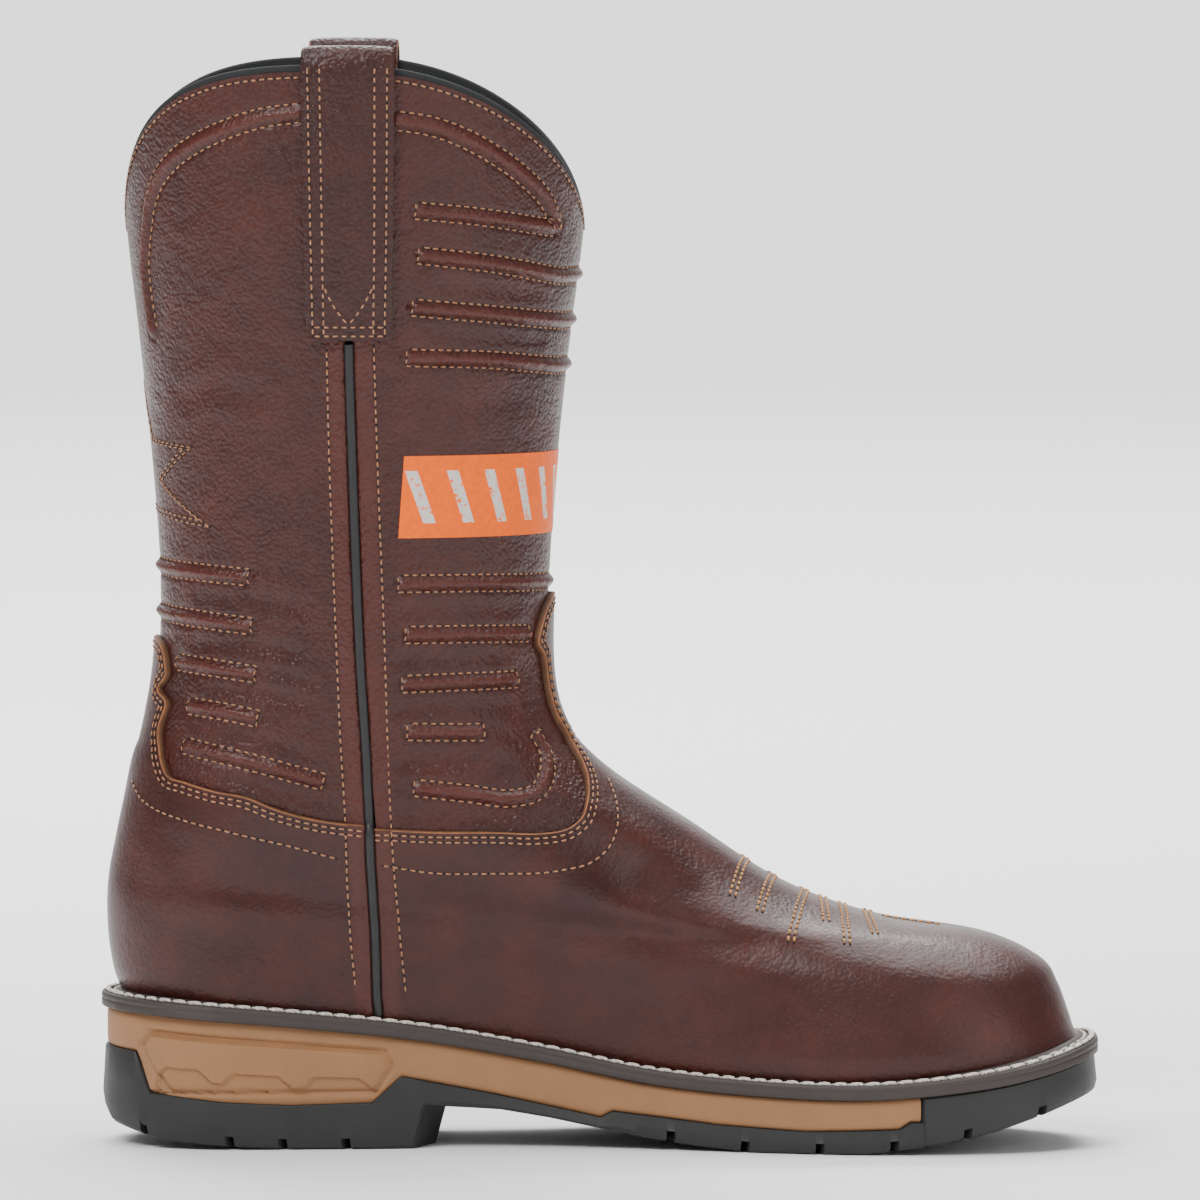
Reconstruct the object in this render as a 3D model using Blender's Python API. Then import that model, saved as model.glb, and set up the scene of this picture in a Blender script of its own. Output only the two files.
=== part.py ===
"""A western work boot with a scalloped collar, side seams, pull straps and a welted sole.

The boot stands unbent on its sole. +X points to the toe, +Z up, and -Y is the inner
(big toe) side of a left boot. The origin is on the floor, under the middle of the heel.
All sizes are in metres.
"""

import math

import bmesh
import bpy
import numpy as np

# Lengths of the sole and its edge
LENGTH = 0.305
HEEL_REST = 0.076
BALL_WIDTH = 0.107
HEEL_WIDTH = 0.075
WELT_REACH = 0.0060
WELT_THICKNESS = 0.0046
SIDE_INSET = 0.0012
MIDSOLE_END = 0.2515

# Heights of the sole
HEEL_HEIGHT = 0.0462
BALL_HEIGHT = 0.0212
TOE_HEIGHT = 0.0330
ARCH_HEIGHT = 0.0132
TOE_SPRING = 0.0170
HEEL_BEVEL = 0.0110
PANEL_PROUD = 0.0010
PANEL_ENDS = (0.0171, 0.0214, 0.0799, 0.0842)
TREAD_INSET = 0.0022
LUG_INSET = 0.0004
MIDSOLE_INSET = 0.0006
SPLIT_END = 0.0004

# Lugs cut into the tread from its sides
GROOVE_WIDTH = 0.0028
GROOVE_DEPTH = 0.0032
LUG_REACH = 0.0190
CUTTER_HEIGHT = 0.0200
CUTTER_WIDTH = 0.0500
HEEL_GROOVES = (0.0131, 0.0395, 0.0557, 0.0750)
FIRST_TOE_GROOVE = 0.1744
TOE_GROOVE_PITCH = 0.0226
TOE_GROOVE_COUNT = 6

# Upper
WALL = 0.0022
OVERLAY = 0.0016
INSTEP_HEIGHT = 0.1225
COLLAR_HEIGHT = 0.2815
COLLAR_RISE = 0.0482
ANKLE_BACK = 0.0182
ANKLE_DEPTH = 0.1186
ANKLE_WIDTH = 0.0860
CALF_DEPTH = 0.1400
CALF_WIDTH = 0.1100
HEEL_CURVE = 0.0146
INSOLE_RISE = 0.0026
INSOLE_CLEARANCE = 0.0014
INSOLE_ROUND = 0.0012
WELT_ROUND = 0.0006
WELT_LAP = 0.0004

# Trim
PIPING_RADIUS = 0.0015
SEAM_CLEARANCE = 0.0006
STRAP_WIDTH = 0.0265
STRAP_THICKNESS = 0.0022
STRAP_BOTTOM = 0.2475
STRAP_INSIDE = 0.0750
STRAP_RISE = 0.0042
STRAP_BEND = 0.0020
STRAP_CLEARANCE = 0.0006

# Clearance between pieces that touch
GAP = 0.0003
SEAT_GAP = 0.0005

FEATHER = WELT_REACH + OVERLAY + GAP
ANKLE_FRONT = ANKLE_BACK + ANKLE_DEPTH
BACK_FLARE = 0.477
HEEL_ROUND = 0.125
HEEL_POWER = 2.1
TOE_ROUND = 0.165
TOE_POWER = 2.7
SCALLOP_BACK = 1.5
SCALLOP_FRONT = 1.2

# Outline of the sole, seen from above: share of the length, share of the heel's and the
# ball's half width, and how far its middle line bends to the outer side
OUTLINE_COLUMNS = ("share", "heel", "ball", "bend")
OUTLINE = (
    (0.00, 0.96, 0.000, 0.000),
    (0.12, 1.00, 0.000, 0.000),
    (0.25, 0.96, 0.000, 0.010),
    (0.38, 0.62, 0.220, 0.028),
    (0.50, 0.30, 0.510, 0.042),
    (0.60, 0.10, 0.770, 0.040),
    (0.68, 0.00, 0.945, 0.023),
    (0.76, 0.00, 1.000, 0.000),
    (0.84, 0.00, 0.975, -0.023),
    (0.92, 0.00, 0.905, -0.048),
    (1.00, 0.00, 0.820, -0.070),
)

# Top of the welt: share of the length, then how much of the heel's and of the toe's
# height over the ball it has there
WELT_COLUMNS = ("share", "heel", "toe")
WELT_LINE = (
    (0.000, 1.000, 0.00),
    (0.121, 0.900, 0.00),
    (0.202, 0.815, 0.00),
    (0.312, 0.670, 0.00),
    (0.441, 0.400, 0.00),
    (0.554, 0.135, 0.00),
    (0.669, 0.020, 0.00),
    (0.784, 0.000, 0.02),
    (0.859, 0.000, 0.20),
    (0.915, 0.000, 0.42),
    (0.959, 0.000, 0.68),
    (1.000, 0.000, 1.00),
)

# Line where the tan midsole meets the dark outsole: share of the length and of the
# height of the welt's underside
SPLIT_COLUMNS = ("share", "height")
SPLIT_LINE = (
    (0.0000, 0.715),
    (0.0310, 0.710),
    (0.0470, 0.414),
    (0.1200, 0.368),
    (0.1880, 0.360),
    (0.2705, 0.405),
    (0.3000, 0.650),
    (0.3200, 0.634),
    (0.3940, 0.570),
    (0.5016, 0.425),
    (0.5134, 0.526),
    (0.6200, 0.457),
    (0.7070, 0.411),
    (0.8020, 0.455),
    (0.8134, 0.575),
)

# Tread: share of the length, then shares of the heel's bevel, the arch and the toe spring
TREAD_COLUMNS = ("share", "bevel", "arch", "spring")
TREAD_LINE = (
    (0.0000, 1.00, 0.000, 0.000),
    (0.0082, 0.60, 0.000, 0.000),
    (0.0574, 0.22, 0.000, 0.000),
    (0.1280, 0.08, 0.000, 0.000),
    (0.1850, 0.00, 0.000, 0.000),
    (0.3115, 0.00, 0.000, 0.000),
    (0.3250, 0.00, 1.000, 0.000),
    (0.4000, 0.00, 0.900, 0.000),
    (0.4500, 0.00, 0.710, 0.000),
    (0.5000, 0.00, 0.480, 0.000),
    (0.5500, 0.00, 0.265, 0.000),
    (0.6000, 0.00, 0.110, 0.000),
    (0.6500, 0.00, 0.000, 0.000),
    (0.7650, 0.00, 0.000, 0.000),
    (0.8000, 0.00, 0.000, 0.070),
    (0.8500, 0.00, 0.000, 0.200),
    (0.9000, 0.00, 0.000, 0.410),
    (0.9500, 0.00, 0.000, 0.690),
    (1.0000, 0.00, 0.000, 1.000),
)

# Rings of the upper, from the feather line up to above the collar. A ring is a closed
# curve in a tilted plane, from the boot's back line to its front line. A level of 0 to 1
# climbs from the welt to the instep, and 1 to 2 from there to the collar.
RING_COLUMNS = (
    "back_level", "front_level", "swell", "reach", "flare", "sole_like", "width",
    "back_round", "front_round", "front_power", "lie", "bend", "seam",
)
RINGS = (
    (0.001, 0.000, 0.70, 1.000, 0.00, 1.00, 0.80, 0.125, 0.165, 2.70, 1.00, 1.00, 62.0),
    (0.090, 0.056, 0.86, 0.985, 0.00, 1.00, 0.80, 0.125, 0.170, 2.70, 0.85, 1.00, 63.0),
    (0.220, 0.168, 0.97, 0.962, 0.00, 0.84, 0.80, 0.130, 0.190, 2.60, 0.65, 0.95, 63.9),
    (0.351, 0.247, 1.00, 0.930, 0.00, 0.62, 0.84, 0.130, 0.230, 2.50, 0.45, 0.85, 64.6),
    (0.469, 0.327, 0.96, 0.826, 0.00, 0.36, 0.79, 0.140, 0.310, 2.50, 0.28, 0.70, 66.4),
    (0.613, 0.385, 0.82, 0.621, 0.00, 0.28, 0.83, 0.160, 0.420, 2.50, 0.15, 0.55, 70.7),
    (0.770, 0.502, 0.65, 0.440, 0.00, 0.10, 0.85, 0.200, 0.480, 2.50, 0.06, 0.40, 75.3),
    (0.941, 0.708, 0.46, 0.262, 0.00, 0.02, 0.87, 0.270, 0.500, 2.40, 0.00, 0.25, 81.1),
    (1.053, 0.874, 0.21, 0.120, 0.00, 0.00, 0.89, 0.350, 0.500, 2.30, 0.00, 0.15, 86.8),
    (1.135, 1.009, 0.06, 0.039, 0.00, 0.00, 0.92, 0.430, 0.500, 2.20, 0.00, 0.08, 90.7),
    (1.223, 1.114, 0.00, 0.004, 0.00, 0.00, 0.955, 0.480, 0.500, 2.10, 0.00, 0.03, 92.1),
    (1.362, 1.286, 0.00, 0.000, 0.02, 0.00, 1.00, 0.500, 0.500, 2.05, 0.00, 0.00, 91.4),
    (1.563, 1.544, 0.00, 0.000, 0.26, 0.00, 1.00, 0.500, 0.500, 2.00, 0.00, 0.00, 90.1),
    (1.783, 1.783, 0.00, 0.000, 0.62, 0.00, 1.00, 0.500, 0.500, 2.00, 0.00, 0.00, 89.1),
    (2.000, 2.000, 0.00, 0.000, 1.00, 0.00, 1.00, 0.500, 0.500, 2.00, 0.00, 0.00, 88.9),
    (2.310, 2.310, 0.00, 0.000, 1.35, 0.00, 1.00, 0.500, 0.500, 2.00, 0.00, 0.00, 88.6),
)
SWELL_WIDTH = 1.05

# Upper edge of the counter, from the back to the side seam, and of the vamp, from the
# front to the side seam: share of the way, and level
EDGE_COLUMNS = ("share", "level")
COUNTER_EDGE = (
    (0.00, 1.204), (0.12, 1.198), (0.21, 1.150), (0.30, 0.990),
    (0.45, 0.927), (0.70, 0.873), (1.00, 0.806),
)
VAMP_EDGE = (
    (0.00, 1.286), (0.07, 1.280), (0.14, 1.225), (0.20, 0.998), (0.27, 0.916),
    (0.40, 0.857), (0.53, 0.820), (0.65, 0.793), (0.85, 0.794), (1.00, 0.802),
)

# Fineness of the faceted surfaces
BACK_COLUMNS = 9
FRONT_COLUMNS = 15
FOOT_ROWS = 10
FAN_ROWS = 5
SHAFT_ROWS = 8
TOP_RING = len(RINGS) - 1


def column(table, names, name):
    """One named column of a table, as an array."""
    return np.array([row[names.index(name)] for row in table], dtype=float)


def curve(knots, values, places):
    """Smooth curve through the values at the knots, read at the places."""
    step = np.diff(knots)
    rise = np.diff(values) / step
    slope = np.empty_like(values)
    slope[1:-1] = (step[1:] * rise[:-1] + step[:-1] * rise[1:]) / (step[1:] + step[:-1])
    slope[0], slope[-1] = rise[0], rise[-1]
    places = np.clip(places, knots[0], knots[-1])
    cell = np.clip(np.searchsorted(knots, places, side="right") - 1, 0, len(step) - 1)
    wide = step[cell]
    part = (places - knots[cell]) / wide
    return (
        (1 + 2 * part) * (1 - part) ** 2 * values[cell]
        + part * (1 - part) ** 2 * wide * slope[cell]
        + part ** 2 * (3 - 2 * part) * values[cell + 1]
        - part ** 2 * (1 - part) * wide * slope[cell + 1]
    )


def read(table, names, name, places):
    """Named column of a table against its share, as a smooth curve."""
    return curve(column(table, names, "share"), column(table, names, name), places)


def ring_value(name, v):
    """Named column of the rings at ring number v, which may lie between two rings."""
    return curve(np.arange(len(RINGS), dtype=float), column(RINGS, RING_COLUMNS, name), v)


def round_end(t, reach, power):
    """Rises from 0 at the end of an outline to 1 at the given reach from it."""
    back = np.clip((reach - t) / reach, 0.0, 1.0)
    return (1.0 - back ** power) ** (1.0 / power)


# Sole

def sole_half(s):
    """Half width of the sole at a share of its length, before its ends are rounded."""
    heel = read(OUTLINE, OUTLINE_COLUMNS, "heel", s) * HEEL_WIDTH / 2
    return heel + read(OUTLINE, OUTLINE_COLUMNS, "ball", s) * BALL_WIDTH / 2


def sole_middle(s):
    """Place across of the sole's middle line."""
    return read(OUTLINE, OUTLINE_COLUMNS, "bend", s) * BALL_WIDTH


def sole_edge(s, side, inset):
    """Points of the sole's outline, moved inwards by the inset."""
    rounding = round_end(s, HEEL_ROUND, HEEL_POWER) * round_end(1 - s, TOE_ROUND, TOE_POWER)
    x = inset + s * (LENGTH - 2 * inset) - HEEL_REST
    y = sole_middle(s) + side * (sole_half(s) - inset) * rounding
    return x, y


def welt_top(s):
    """Height of the welt's upper face."""
    heel = read(WELT_LINE, WELT_COLUMNS, "heel", s) * (HEEL_HEIGHT - BALL_HEIGHT)
    toe = read(WELT_LINE, WELT_COLUMNS, "toe", s) * (TOE_HEIGHT - BALL_HEIGHT)
    return BALL_HEIGHT + heel + toe


def welt_bottom(s):
    """Height of the welt's underside."""
    return welt_top(s) - WELT_THICKNESS


def split_corners(lift):
    """Corners of the line between midsole and outsole, moved up along their normals."""
    share = column(SPLIT_LINE, SPLIT_COLUMNS, "share")
    x = share * LENGTH
    z = column(SPLIT_LINE, SPLIT_COLUMNS, "height") * welt_bottom(share)
    way_x = np.gradient(x)
    way_z = np.gradient(z)
    size = np.hypot(way_x, way_z)
    inner = np.ones(len(x))
    inner[0] = 0.0
    return (x - inner * way_z / size * lift) / LENGTH, z + way_x / size * lift


def split_height(s, lift):
    """Height of that line, with the lift."""
    share, z = split_corners(lift)
    return np.interp(s, share, z)


def tread_height(s):
    """Height of the tread's underside over the floor."""
    share = column(TREAD_LINE, TREAD_COLUMNS, "share")
    z = (
        column(TREAD_LINE, TREAD_COLUMNS, "bevel") * HEEL_BEVEL
        + column(TREAD_LINE, TREAD_COLUMNS, "arch") * ARCH_HEIGHT
        + column(TREAD_LINE, TREAD_COLUMNS, "spring") * TOE_SPRING
    )
    return np.interp(s, share, z)


def stations(count, corners, last=1.0):
    """Shares of the length, close together at the ends, with every corner among them."""
    even = (1 - np.cos(np.linspace(0, math.pi, count))) / 2
    corners = np.array(sorted(set([0.0, last] + [c for c in corners if 0 < c < last])))
    clear = [s for s in even if s < last and np.min(np.abs(corners - s)) > 0.004]
    return np.array(sorted(clear + list(corners)))


def mesh_object(name, points, faces, collection, material):
    """Object from points and faces, with doubles merged and faces turned outwards."""
    mesh = bpy.data.meshes.new(name)
    mesh.from_pydata([tuple(p) for p in points], [], faces)
    work = bmesh.new()
    work.from_mesh(mesh)
    bmesh.ops.remove_doubles(work, verts=work.verts, dist=0.00002)
    bmesh.ops.dissolve_degenerate(work, edges=work.edges, dist=0.00002)
    bmesh.ops.recalc_face_normals(work, faces=work.faces)
    bmesh.ops.triangulate(work, faces=work.faces, quad_method="SHORT_EDGE")
    if work.calc_volume(signed=True) < 0:
        bmesh.ops.reverse_faces(work, faces=work.faces)
    work.to_mesh(mesh)
    work.free()
    obj = bpy.data.objects.new(name, mesh)
    obj.data.materials.append(material)
    collection.objects.link(obj)
    mesh.shade_smooth()
    mesh.set_sharp_from_angle(angle=math.radians(40))
    return obj


def slab(s, rows, bottom, top):
    """Points and faces of a layer of the sole: rows of (share of height, insets)."""
    points = []
    for side in (1, -1):
        for share, inset in rows:
            x, y = sole_edge(s, side, inset)
            z = bottom + share * (top - bottom)
            points.append(np.stack([x, y, z], axis=1))
    count, levels = len(s), len(rows)
    faces = []
    for i in range(count - 1):
        for side in (0, 1):
            for j in range(levels - 1):
                low = (side * levels + j) * count + i
                high = low + count
                faces.append((low, low + 1, high + 1, high))
        for j in (0, levels - 1):
            left = j * count + i
            right = (levels + j) * count + i
            faces.append((left, left + 1, right + 1, right))
    for i in (0, count - 1):
        for j in range(levels - 1):
            left = j * count + i
            right = (levels + j) * count + i
            faces.append((left, left + count, right + count, right))
    return np.concatenate(points), faces


def make_outsole(collection, cutters, material):
    """Dark outsole with its heel, arch, toe spring and side lugs."""
    end = MIDSOLE_END / LENGTH
    corners = list(split_corners(0.0)[0]) + [end, end + SPLIT_END / LENGTH]
    corners += list(column(TREAD_LINE, TREAD_COLUMNS, "share"))
    s = stations(30, corners)
    top = np.where(s <= end, split_height(s, 0.0), welt_bottom(s) - GAP)
    rows = ((0.0, TREAD_INSET), (0.22, LUG_INSET), (1.0, SIDE_INSET))
    points, faces = slab(s, rows, tread_height(s), top)
    outsole = mesh_object("outsole", points, faces, collection, material)
    cutter = make_groove_cutter(cutters, material)
    cut = outsole.modifiers.new("side grooves", "BOOLEAN")
    cut.operation = "DIFFERENCE"
    cut.solver = "EXACT"
    cut.object = cutter
    return outsole


def make_groove_cutter(cutters, material):
    """Boxes that cut the grooves between the lugs from both sides of the tread."""
    work = bmesh.new()
    places = list(HEEL_GROOVES)
    places += [FIRST_TOE_GROOVE + i * TOE_GROOVE_PITCH for i in range(TOE_GROOVE_COUNT)]
    for place in places:
        s = place / LENGTH
        x = place - HEEL_REST
        z = float(tread_height(s)) + GROOVE_DEPTH - CUTTER_HEIGHT / 2
        for side in (1, -1):
            edge = float(sole_edge(s, side, 0.0)[1])
            y = edge - side * (LUG_REACH - CUTTER_WIDTH / 2)
            box = bmesh.ops.create_cube(work, size=1.0)["verts"]
            bmesh.ops.scale(work, vec=(GROOVE_WIDTH, CUTTER_WIDTH, CUTTER_HEIGHT), verts=box)
            bmesh.ops.translate(work, vec=(x, y, z), verts=box)
    mesh = bpy.data.meshes.new("groove_cutter")
    work.to_mesh(mesh)
    work.free()
    cutter = bpy.data.objects.new("groove_cutter", mesh)
    cutter.data.materials.append(material)
    cutter.hide_render = True
    cutter.display_type = "WIRE"
    cutters.objects.link(cutter)
    return cutter


def make_midsole(collection, material):
    """Tan midsole between welt and outsole, with a proud panel on each side of the heel."""
    end = (MIDSOLE_END - SPLIT_END) / LENGTH
    panel = [place / LENGTH for place in PANEL_ENDS]
    corners = list(split_corners(GAP)[0]) + panel
    s = stations(30, corners, end)
    window = np.interp(s, panel, (0.0, 1.0, 1.0, 0.0))
    plain = SIDE_INSET + MIDSOLE_INSET
    proud = plain - PANEL_PROUD * window
    rows = ((0.0, SIDE_INSET), (0.10, plain), (0.24, plain), (0.30, proud), (0.76, proud),
            (0.82, plain), (1.0, plain))
    points, faces = slab(s, rows, split_height(s, GAP), welt_bottom(s) - GAP)
    return mesh_object("midsole", points, faces, collection, material)


def make_insole(collection, material):
    """Insole that fills the welt's ring and carries the foot."""
    s = stations(26, ())
    inset = FEATHER + WALL + INSOLE_CLEARANCE
    bottom = welt_bottom(s)
    top = welt_top(s) + INSOLE_RISE
    rows = ((0.0, inset), (0.75, inset), (1.0, inset + INSOLE_ROUND))
    points, faces = slab(s, rows, bottom, top)
    return mesh_object("insole", points, faces, collection, material)


def make_welt(collection, material):
    """Flat strip all round the sole's edge, which carries the upper's wall."""
    s = stations(36, ())
    around = np.concatenate([s, s[-2:0:-1]])
    side = np.concatenate([np.ones(len(s)), -np.ones(len(s) - 2)])
    inner = FEATHER + WALL + WELT_LAP
    loops = []
    for inset, drop in ((0.0, 0.4), (0.0, 1.0), (inner, 1.0), (inner, 0.0),
                        (WELT_ROUND, 0.0)):
        x, y = sole_edge(around, side, inset)
        z = welt_top(around) - drop * WELT_THICKNESS
        loops.append(np.stack([x, y, z], axis=1))
    count = len(around)
    faces = []
    for k in range(len(loops)):
        here, other = k * count, (k + 1) % len(loops) * count
        for i in range(count):
            after = (i + 1) % count
            faces.append((here + i, here + after, other + after, other + i))
    return mesh_object("welt", np.concatenate(loops), faces, collection, material)


# Upper

def level_height(level, seat):
    """Height of a level: 0 to 1 from the seat to the instep, 1 to 2 on to the collar."""
    low = seat + np.minimum(level, 1.0) * (INSTEP_HEIGHT - seat)
    return low + np.maximum(level - 1.0, 0.0) * (COLLAR_HEIGHT - INSTEP_HEIGHT)


def seam_angle(v):
    """Angle of the side seam around ring v, from the back."""
    return np.radians(ring_value("seam", v))


def form(angle, v):
    """Outer face of the upper's wall: angle around from the back, ring number v."""
    flare = ring_value("flare", v)
    grow = CALF_DEPTH - ANKLE_DEPTH
    toe = LENGTH - FEATHER
    seat = np.clip(1.0 - v, 0.0, 1.0)
    back = ANKLE_BACK - ring_value("swell", v) * HEEL_CURVE - flare * BACK_FLARE * grow
    front = ANKLE_FRONT + ring_value("reach", v) * (toe - ANKLE_FRONT)
    front = front + flare * (1 - BACK_FLARE) * grow
    back = back * (1 - seat) + FEATHER * seat
    t = (1 - np.cos(angle)) / 2
    side = np.where(np.sin(angle) < 0, -1.0, 1.0)
    x = back + (front - back) * t
    s = x / LENGTH
    swelling = 1.0 + (SWELL_WIDTH - 1.0) * (1 - seat)
    sole = (sole_half(t) - FEATHER) * swelling
    plain = ring_value("width", v) * ANKLE_WIDTH / 2 + flare * (CALF_WIDTH - ANKLE_WIDTH) / 2
    like = ring_value("sole_like", v)
    half = like * sole + (1 - like) * plain
    rounding = round_end(t, ring_value("back_round", v), HEEL_POWER)
    rounding = rounding * round_end(1 - t, ring_value("front_round", v),
                                    ring_value("front_power", v))
    middle = sole_middle(t * seat + s * (1 - seat)) * ring_value("bend", v)
    y = middle + side * half * rounding
    low = level_height(ring_value("back_level", v), HEEL_HEIGHT)
    high = level_height(ring_value("front_level", v), TOE_HEIGHT)
    seat_line = welt_top(t) + SEAT_GAP
    chord = welt_top(0.0) + SEAT_GAP + (welt_top(1.0) - welt_top(0.0)) * t
    z = low + (high - low) * t + ring_value("lie", v) * (seat_line - chord)
    z = z * (1 - seat) + seat_line * seat
    return np.stack([x - HEEL_REST, y, z], axis=-1)


def shell(angle, v, offset):
    """Point at a distance from the form, outwards along its normal."""
    step = 0.004
    around = form(angle + step, v) - form(angle - step, v)
    up = form(angle, np.minimum(v + 0.03, TOP_RING)) - form(angle, np.maximum(v - 0.03, 0.0))
    normal = np.cross(up, around)
    normal /= np.linalg.norm(normal, axis=-1, keepdims=True)
    flat = np.clip(1.0 - v, 0.0, 1.0)[..., None]
    level = normal * (1.0, 1.0, 0.0)
    level /= np.linalg.norm(level, axis=-1, keepdims=True)
    way = normal * (1 - flat) + level * flat
    return form(angle, v) + way * offset


def turn(q, side, v):
    """Angle around ring v for a place q: 0 at the back, 1 at the side seam, 2 in front."""
    seam = seam_angle(v)
    angle = np.where(q <= 1.0, q * seam, seam + (q - 1.0) * (math.pi - seam))
    return side * angle


def find_ring(q, height):
    """Ring number at which the column q reaches a height over the floor."""
    v = np.linspace(0.0, TOP_RING, 601)
    heights = form(turn(q, 1.0, v), v)[:, 2]
    return float(np.interp(height, heights, v))


def foxing_ring(q):
    """Ring number at the upper edge of the counter (q to 1) or of the vamp (q from 1)."""
    if q <= 1.0:
        level = read(COUNTER_EDGE, EDGE_COLUMNS, "level", q)
    else:
        level = read(VAMP_EDGE, EDGE_COLUMNS, "level", 2.0 - q)
    return find_ring(q, float(level_height(level, 0.0)))


def collar_height(q):
    """Height of the collar's scallop: low at back and front, high at the sides."""
    if q <= 1.0:
        share = 1 - (1 - math.sin(q * math.pi / 2)) ** SCALLOP_BACK
    else:
        share = math.sin((2 - q) * math.pi / 2) ** SCALLOP_FRONT
    return COLLAR_HEIGHT + COLLAR_RISE * share


def ring_columns(places):
    """Places and sides of a closed ring, from the back round both sides."""
    return [(q, 1.0) for q in places] + [(q, -1.0) for q in places[-2:0:-1]]


def surface(columns, shares, start, stop, offset):
    """Grid of points, a row for each share of the way from start to stop."""
    rows = []
    for share in shares:
        row = []
        for (q, side), low, high in zip(columns, start, stop):
            v = np.array(low + (high - low) * share)
            row.append(shell(turn(q, side, v), v, offset))
        rows.append(row)
    return np.array(rows)


def foot_surface(columns, offset):
    """Rows from the feather line, level up to the lowest edge, then fanned out to it."""
    edge = [foxing_ring(q) for q, side in columns]
    bottom = [0.0] * len(columns)
    level = [foxing_ring(1.0)] * len(columns)
    lower = surface(columns, foot_shares(), bottom, level, offset)
    fan = np.linspace(0.0, 1.0, FAN_ROWS + 1)[1:]
    return np.concatenate([lower, surface(columns, fan, level, edge, offset)])


def closed_shell(outer, inner, looped):
    """Points and faces of a solid between two grids, closed at all of their edges."""
    rows, count = outer.shape[:2]
    points = np.concatenate([outer.reshape(-1, 3), inner.reshape(-1, 3)])
    back = rows * count
    faces = []
    last = count if looped else count - 1
    for i in range(rows - 1):
        for j in range(last):
            k = (j + 1) % count
            a, b, c, d = i * count + j, i * count + k, (i + 1) * count + k, (i + 1) * count + j
            faces.append((a, b, c, d))
            faces.append((back + a, back + d, back + c, back + b))
    for i in (0, rows - 1):
        for j in range(last):
            a, b = i * count + j, i * count + (j + 1) % count
            faces.append((a, b, back + b, back + a))
    if not looped:
        for j in (0, count - 1):
            for i in range(rows - 1):
                a, b = i * count + j, (i + 1) * count + j
                faces.append((a, b, back + b, back + a))
    return points, faces


def foot_shares():
    """Shares of the rows below the foxing edge, closer together near the feather line."""
    even = np.linspace(0.0, 1.0, FOOT_ROWS + 1)
    return 0.92 * even + 0.08 * even ** 2


def make_upper(collection, material):
    """One hollow wall from the feather line to the scalloped collar, open at both."""
    back = list(np.linspace(0.0, 1.0, BACK_COLUMNS + 1))
    front = list(np.linspace(1.0, 2.0, FRONT_COLUMNS + 1))[1:]
    columns = ring_columns(back + front)
    edge = [foxing_ring(q) for q, side in columns]
    collar = [find_ring(q, collar_height(q)) for q, side in columns]
    grids = []
    for offset in (0.0, -WALL):
        foot = foot_surface(columns, offset)
        shares = np.linspace(0.0, 1.0, SHAFT_ROWS + 1)[1:]
        shaft = surface(columns, shares, edge, collar, offset)
        grids.append(np.concatenate([foot, shaft]))
    points, faces = closed_shell(grids[0], grids[1], True)
    return mesh_object("upper", points, faces, collection, material)


def make_overlay(name, columns, collection, material):
    """Counter or vamp: a leather layer on the upper, from the welt to its foxing edge."""
    outer = foot_surface(columns, GAP + OVERLAY)
    inner = foot_surface(columns, GAP)
    points, faces = closed_shell(outer, inner, False)
    return mesh_object(name, points, faces, collection, material)


def seam_gap(way):
    """How far from the side seam, in the place q, an overlay stops to clear the piping."""
    widths = []
    for v in np.linspace(0.0, foxing_ring(1.0), 6):
        here, there = (form(turn(q, 1.0, v), v) for q in (1.0, 1.0 + 0.1 * way))
        widths.append(float(np.linalg.norm(here - there)) / 0.1)
    return (PIPING_RADIUS + SEAM_CLEARANCE) / min(widths)


def make_vamp(collection, material):
    """Vamp over the forefoot and instep."""
    half = list(np.linspace(1.0, 2.0, FRONT_COLUMNS + 1))
    half[0] += seam_gap(1)
    columns = [(q, 1.0) for q in half] + [(q, -1.0) for q in half[-2::-1]]
    return make_overlay("vamp", columns, collection, material)


def make_counter(collection, material):
    """Counter round the heel."""
    half = list(np.linspace(0.0, 1.0, BACK_COLUMNS + 1))
    half[-1] -= seam_gap(-1)
    columns = [(q, 1.0) for q in half[::-1]] + [(q, -1.0) for q in half[1:]]
    return make_overlay("counter", columns, collection, material)


# Trim

def make_piping(name, side, collection, material):
    """Round cord in the side seam, from the welt up to the pull strap."""
    seat = float(form(turn(1.0, side, np.array(0.0)), np.array(0.0))[2])
    start = find_ring(1.0, seat + PIPING_RADIUS)
    top = find_ring(1.0, STRAP_BOTTOM - PIPING_RADIUS)
    edge = foxing_ring(1.0)
    collar = find_ring(1.0, collar_height(1.0))
    foot = [edge * share for share in foot_shares()]
    shaft = [edge + (collar - edge) * i / SHAFT_ROWS for i in range(1, SHAFT_ROWS + 1)]
    rings = [start] + [v for v in foot + shaft if start + 0.15 < v < top - 0.15] + [top]
    line = bpy.data.curves.new(name, "CURVE")
    line.dimensions = "3D"
    line.bevel_depth = PIPING_RADIUS
    line.bevel_resolution = 2
    line.use_fill_caps = True
    spline = line.splines.new("POLY")
    spline.points.add(len(rings) - 1)
    for point, v in zip(spline.points, rings):
        v = np.array(v)
        place = shell(turn(1.0, side, v), v, GAP + PIPING_RADIUS)
        point.co = (place[0], place[1], place[2], 1.0)
    obj = bpy.data.objects.new(name, line)
    line.materials.append(material)
    collection.objects.link(obj)
    return obj


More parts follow.
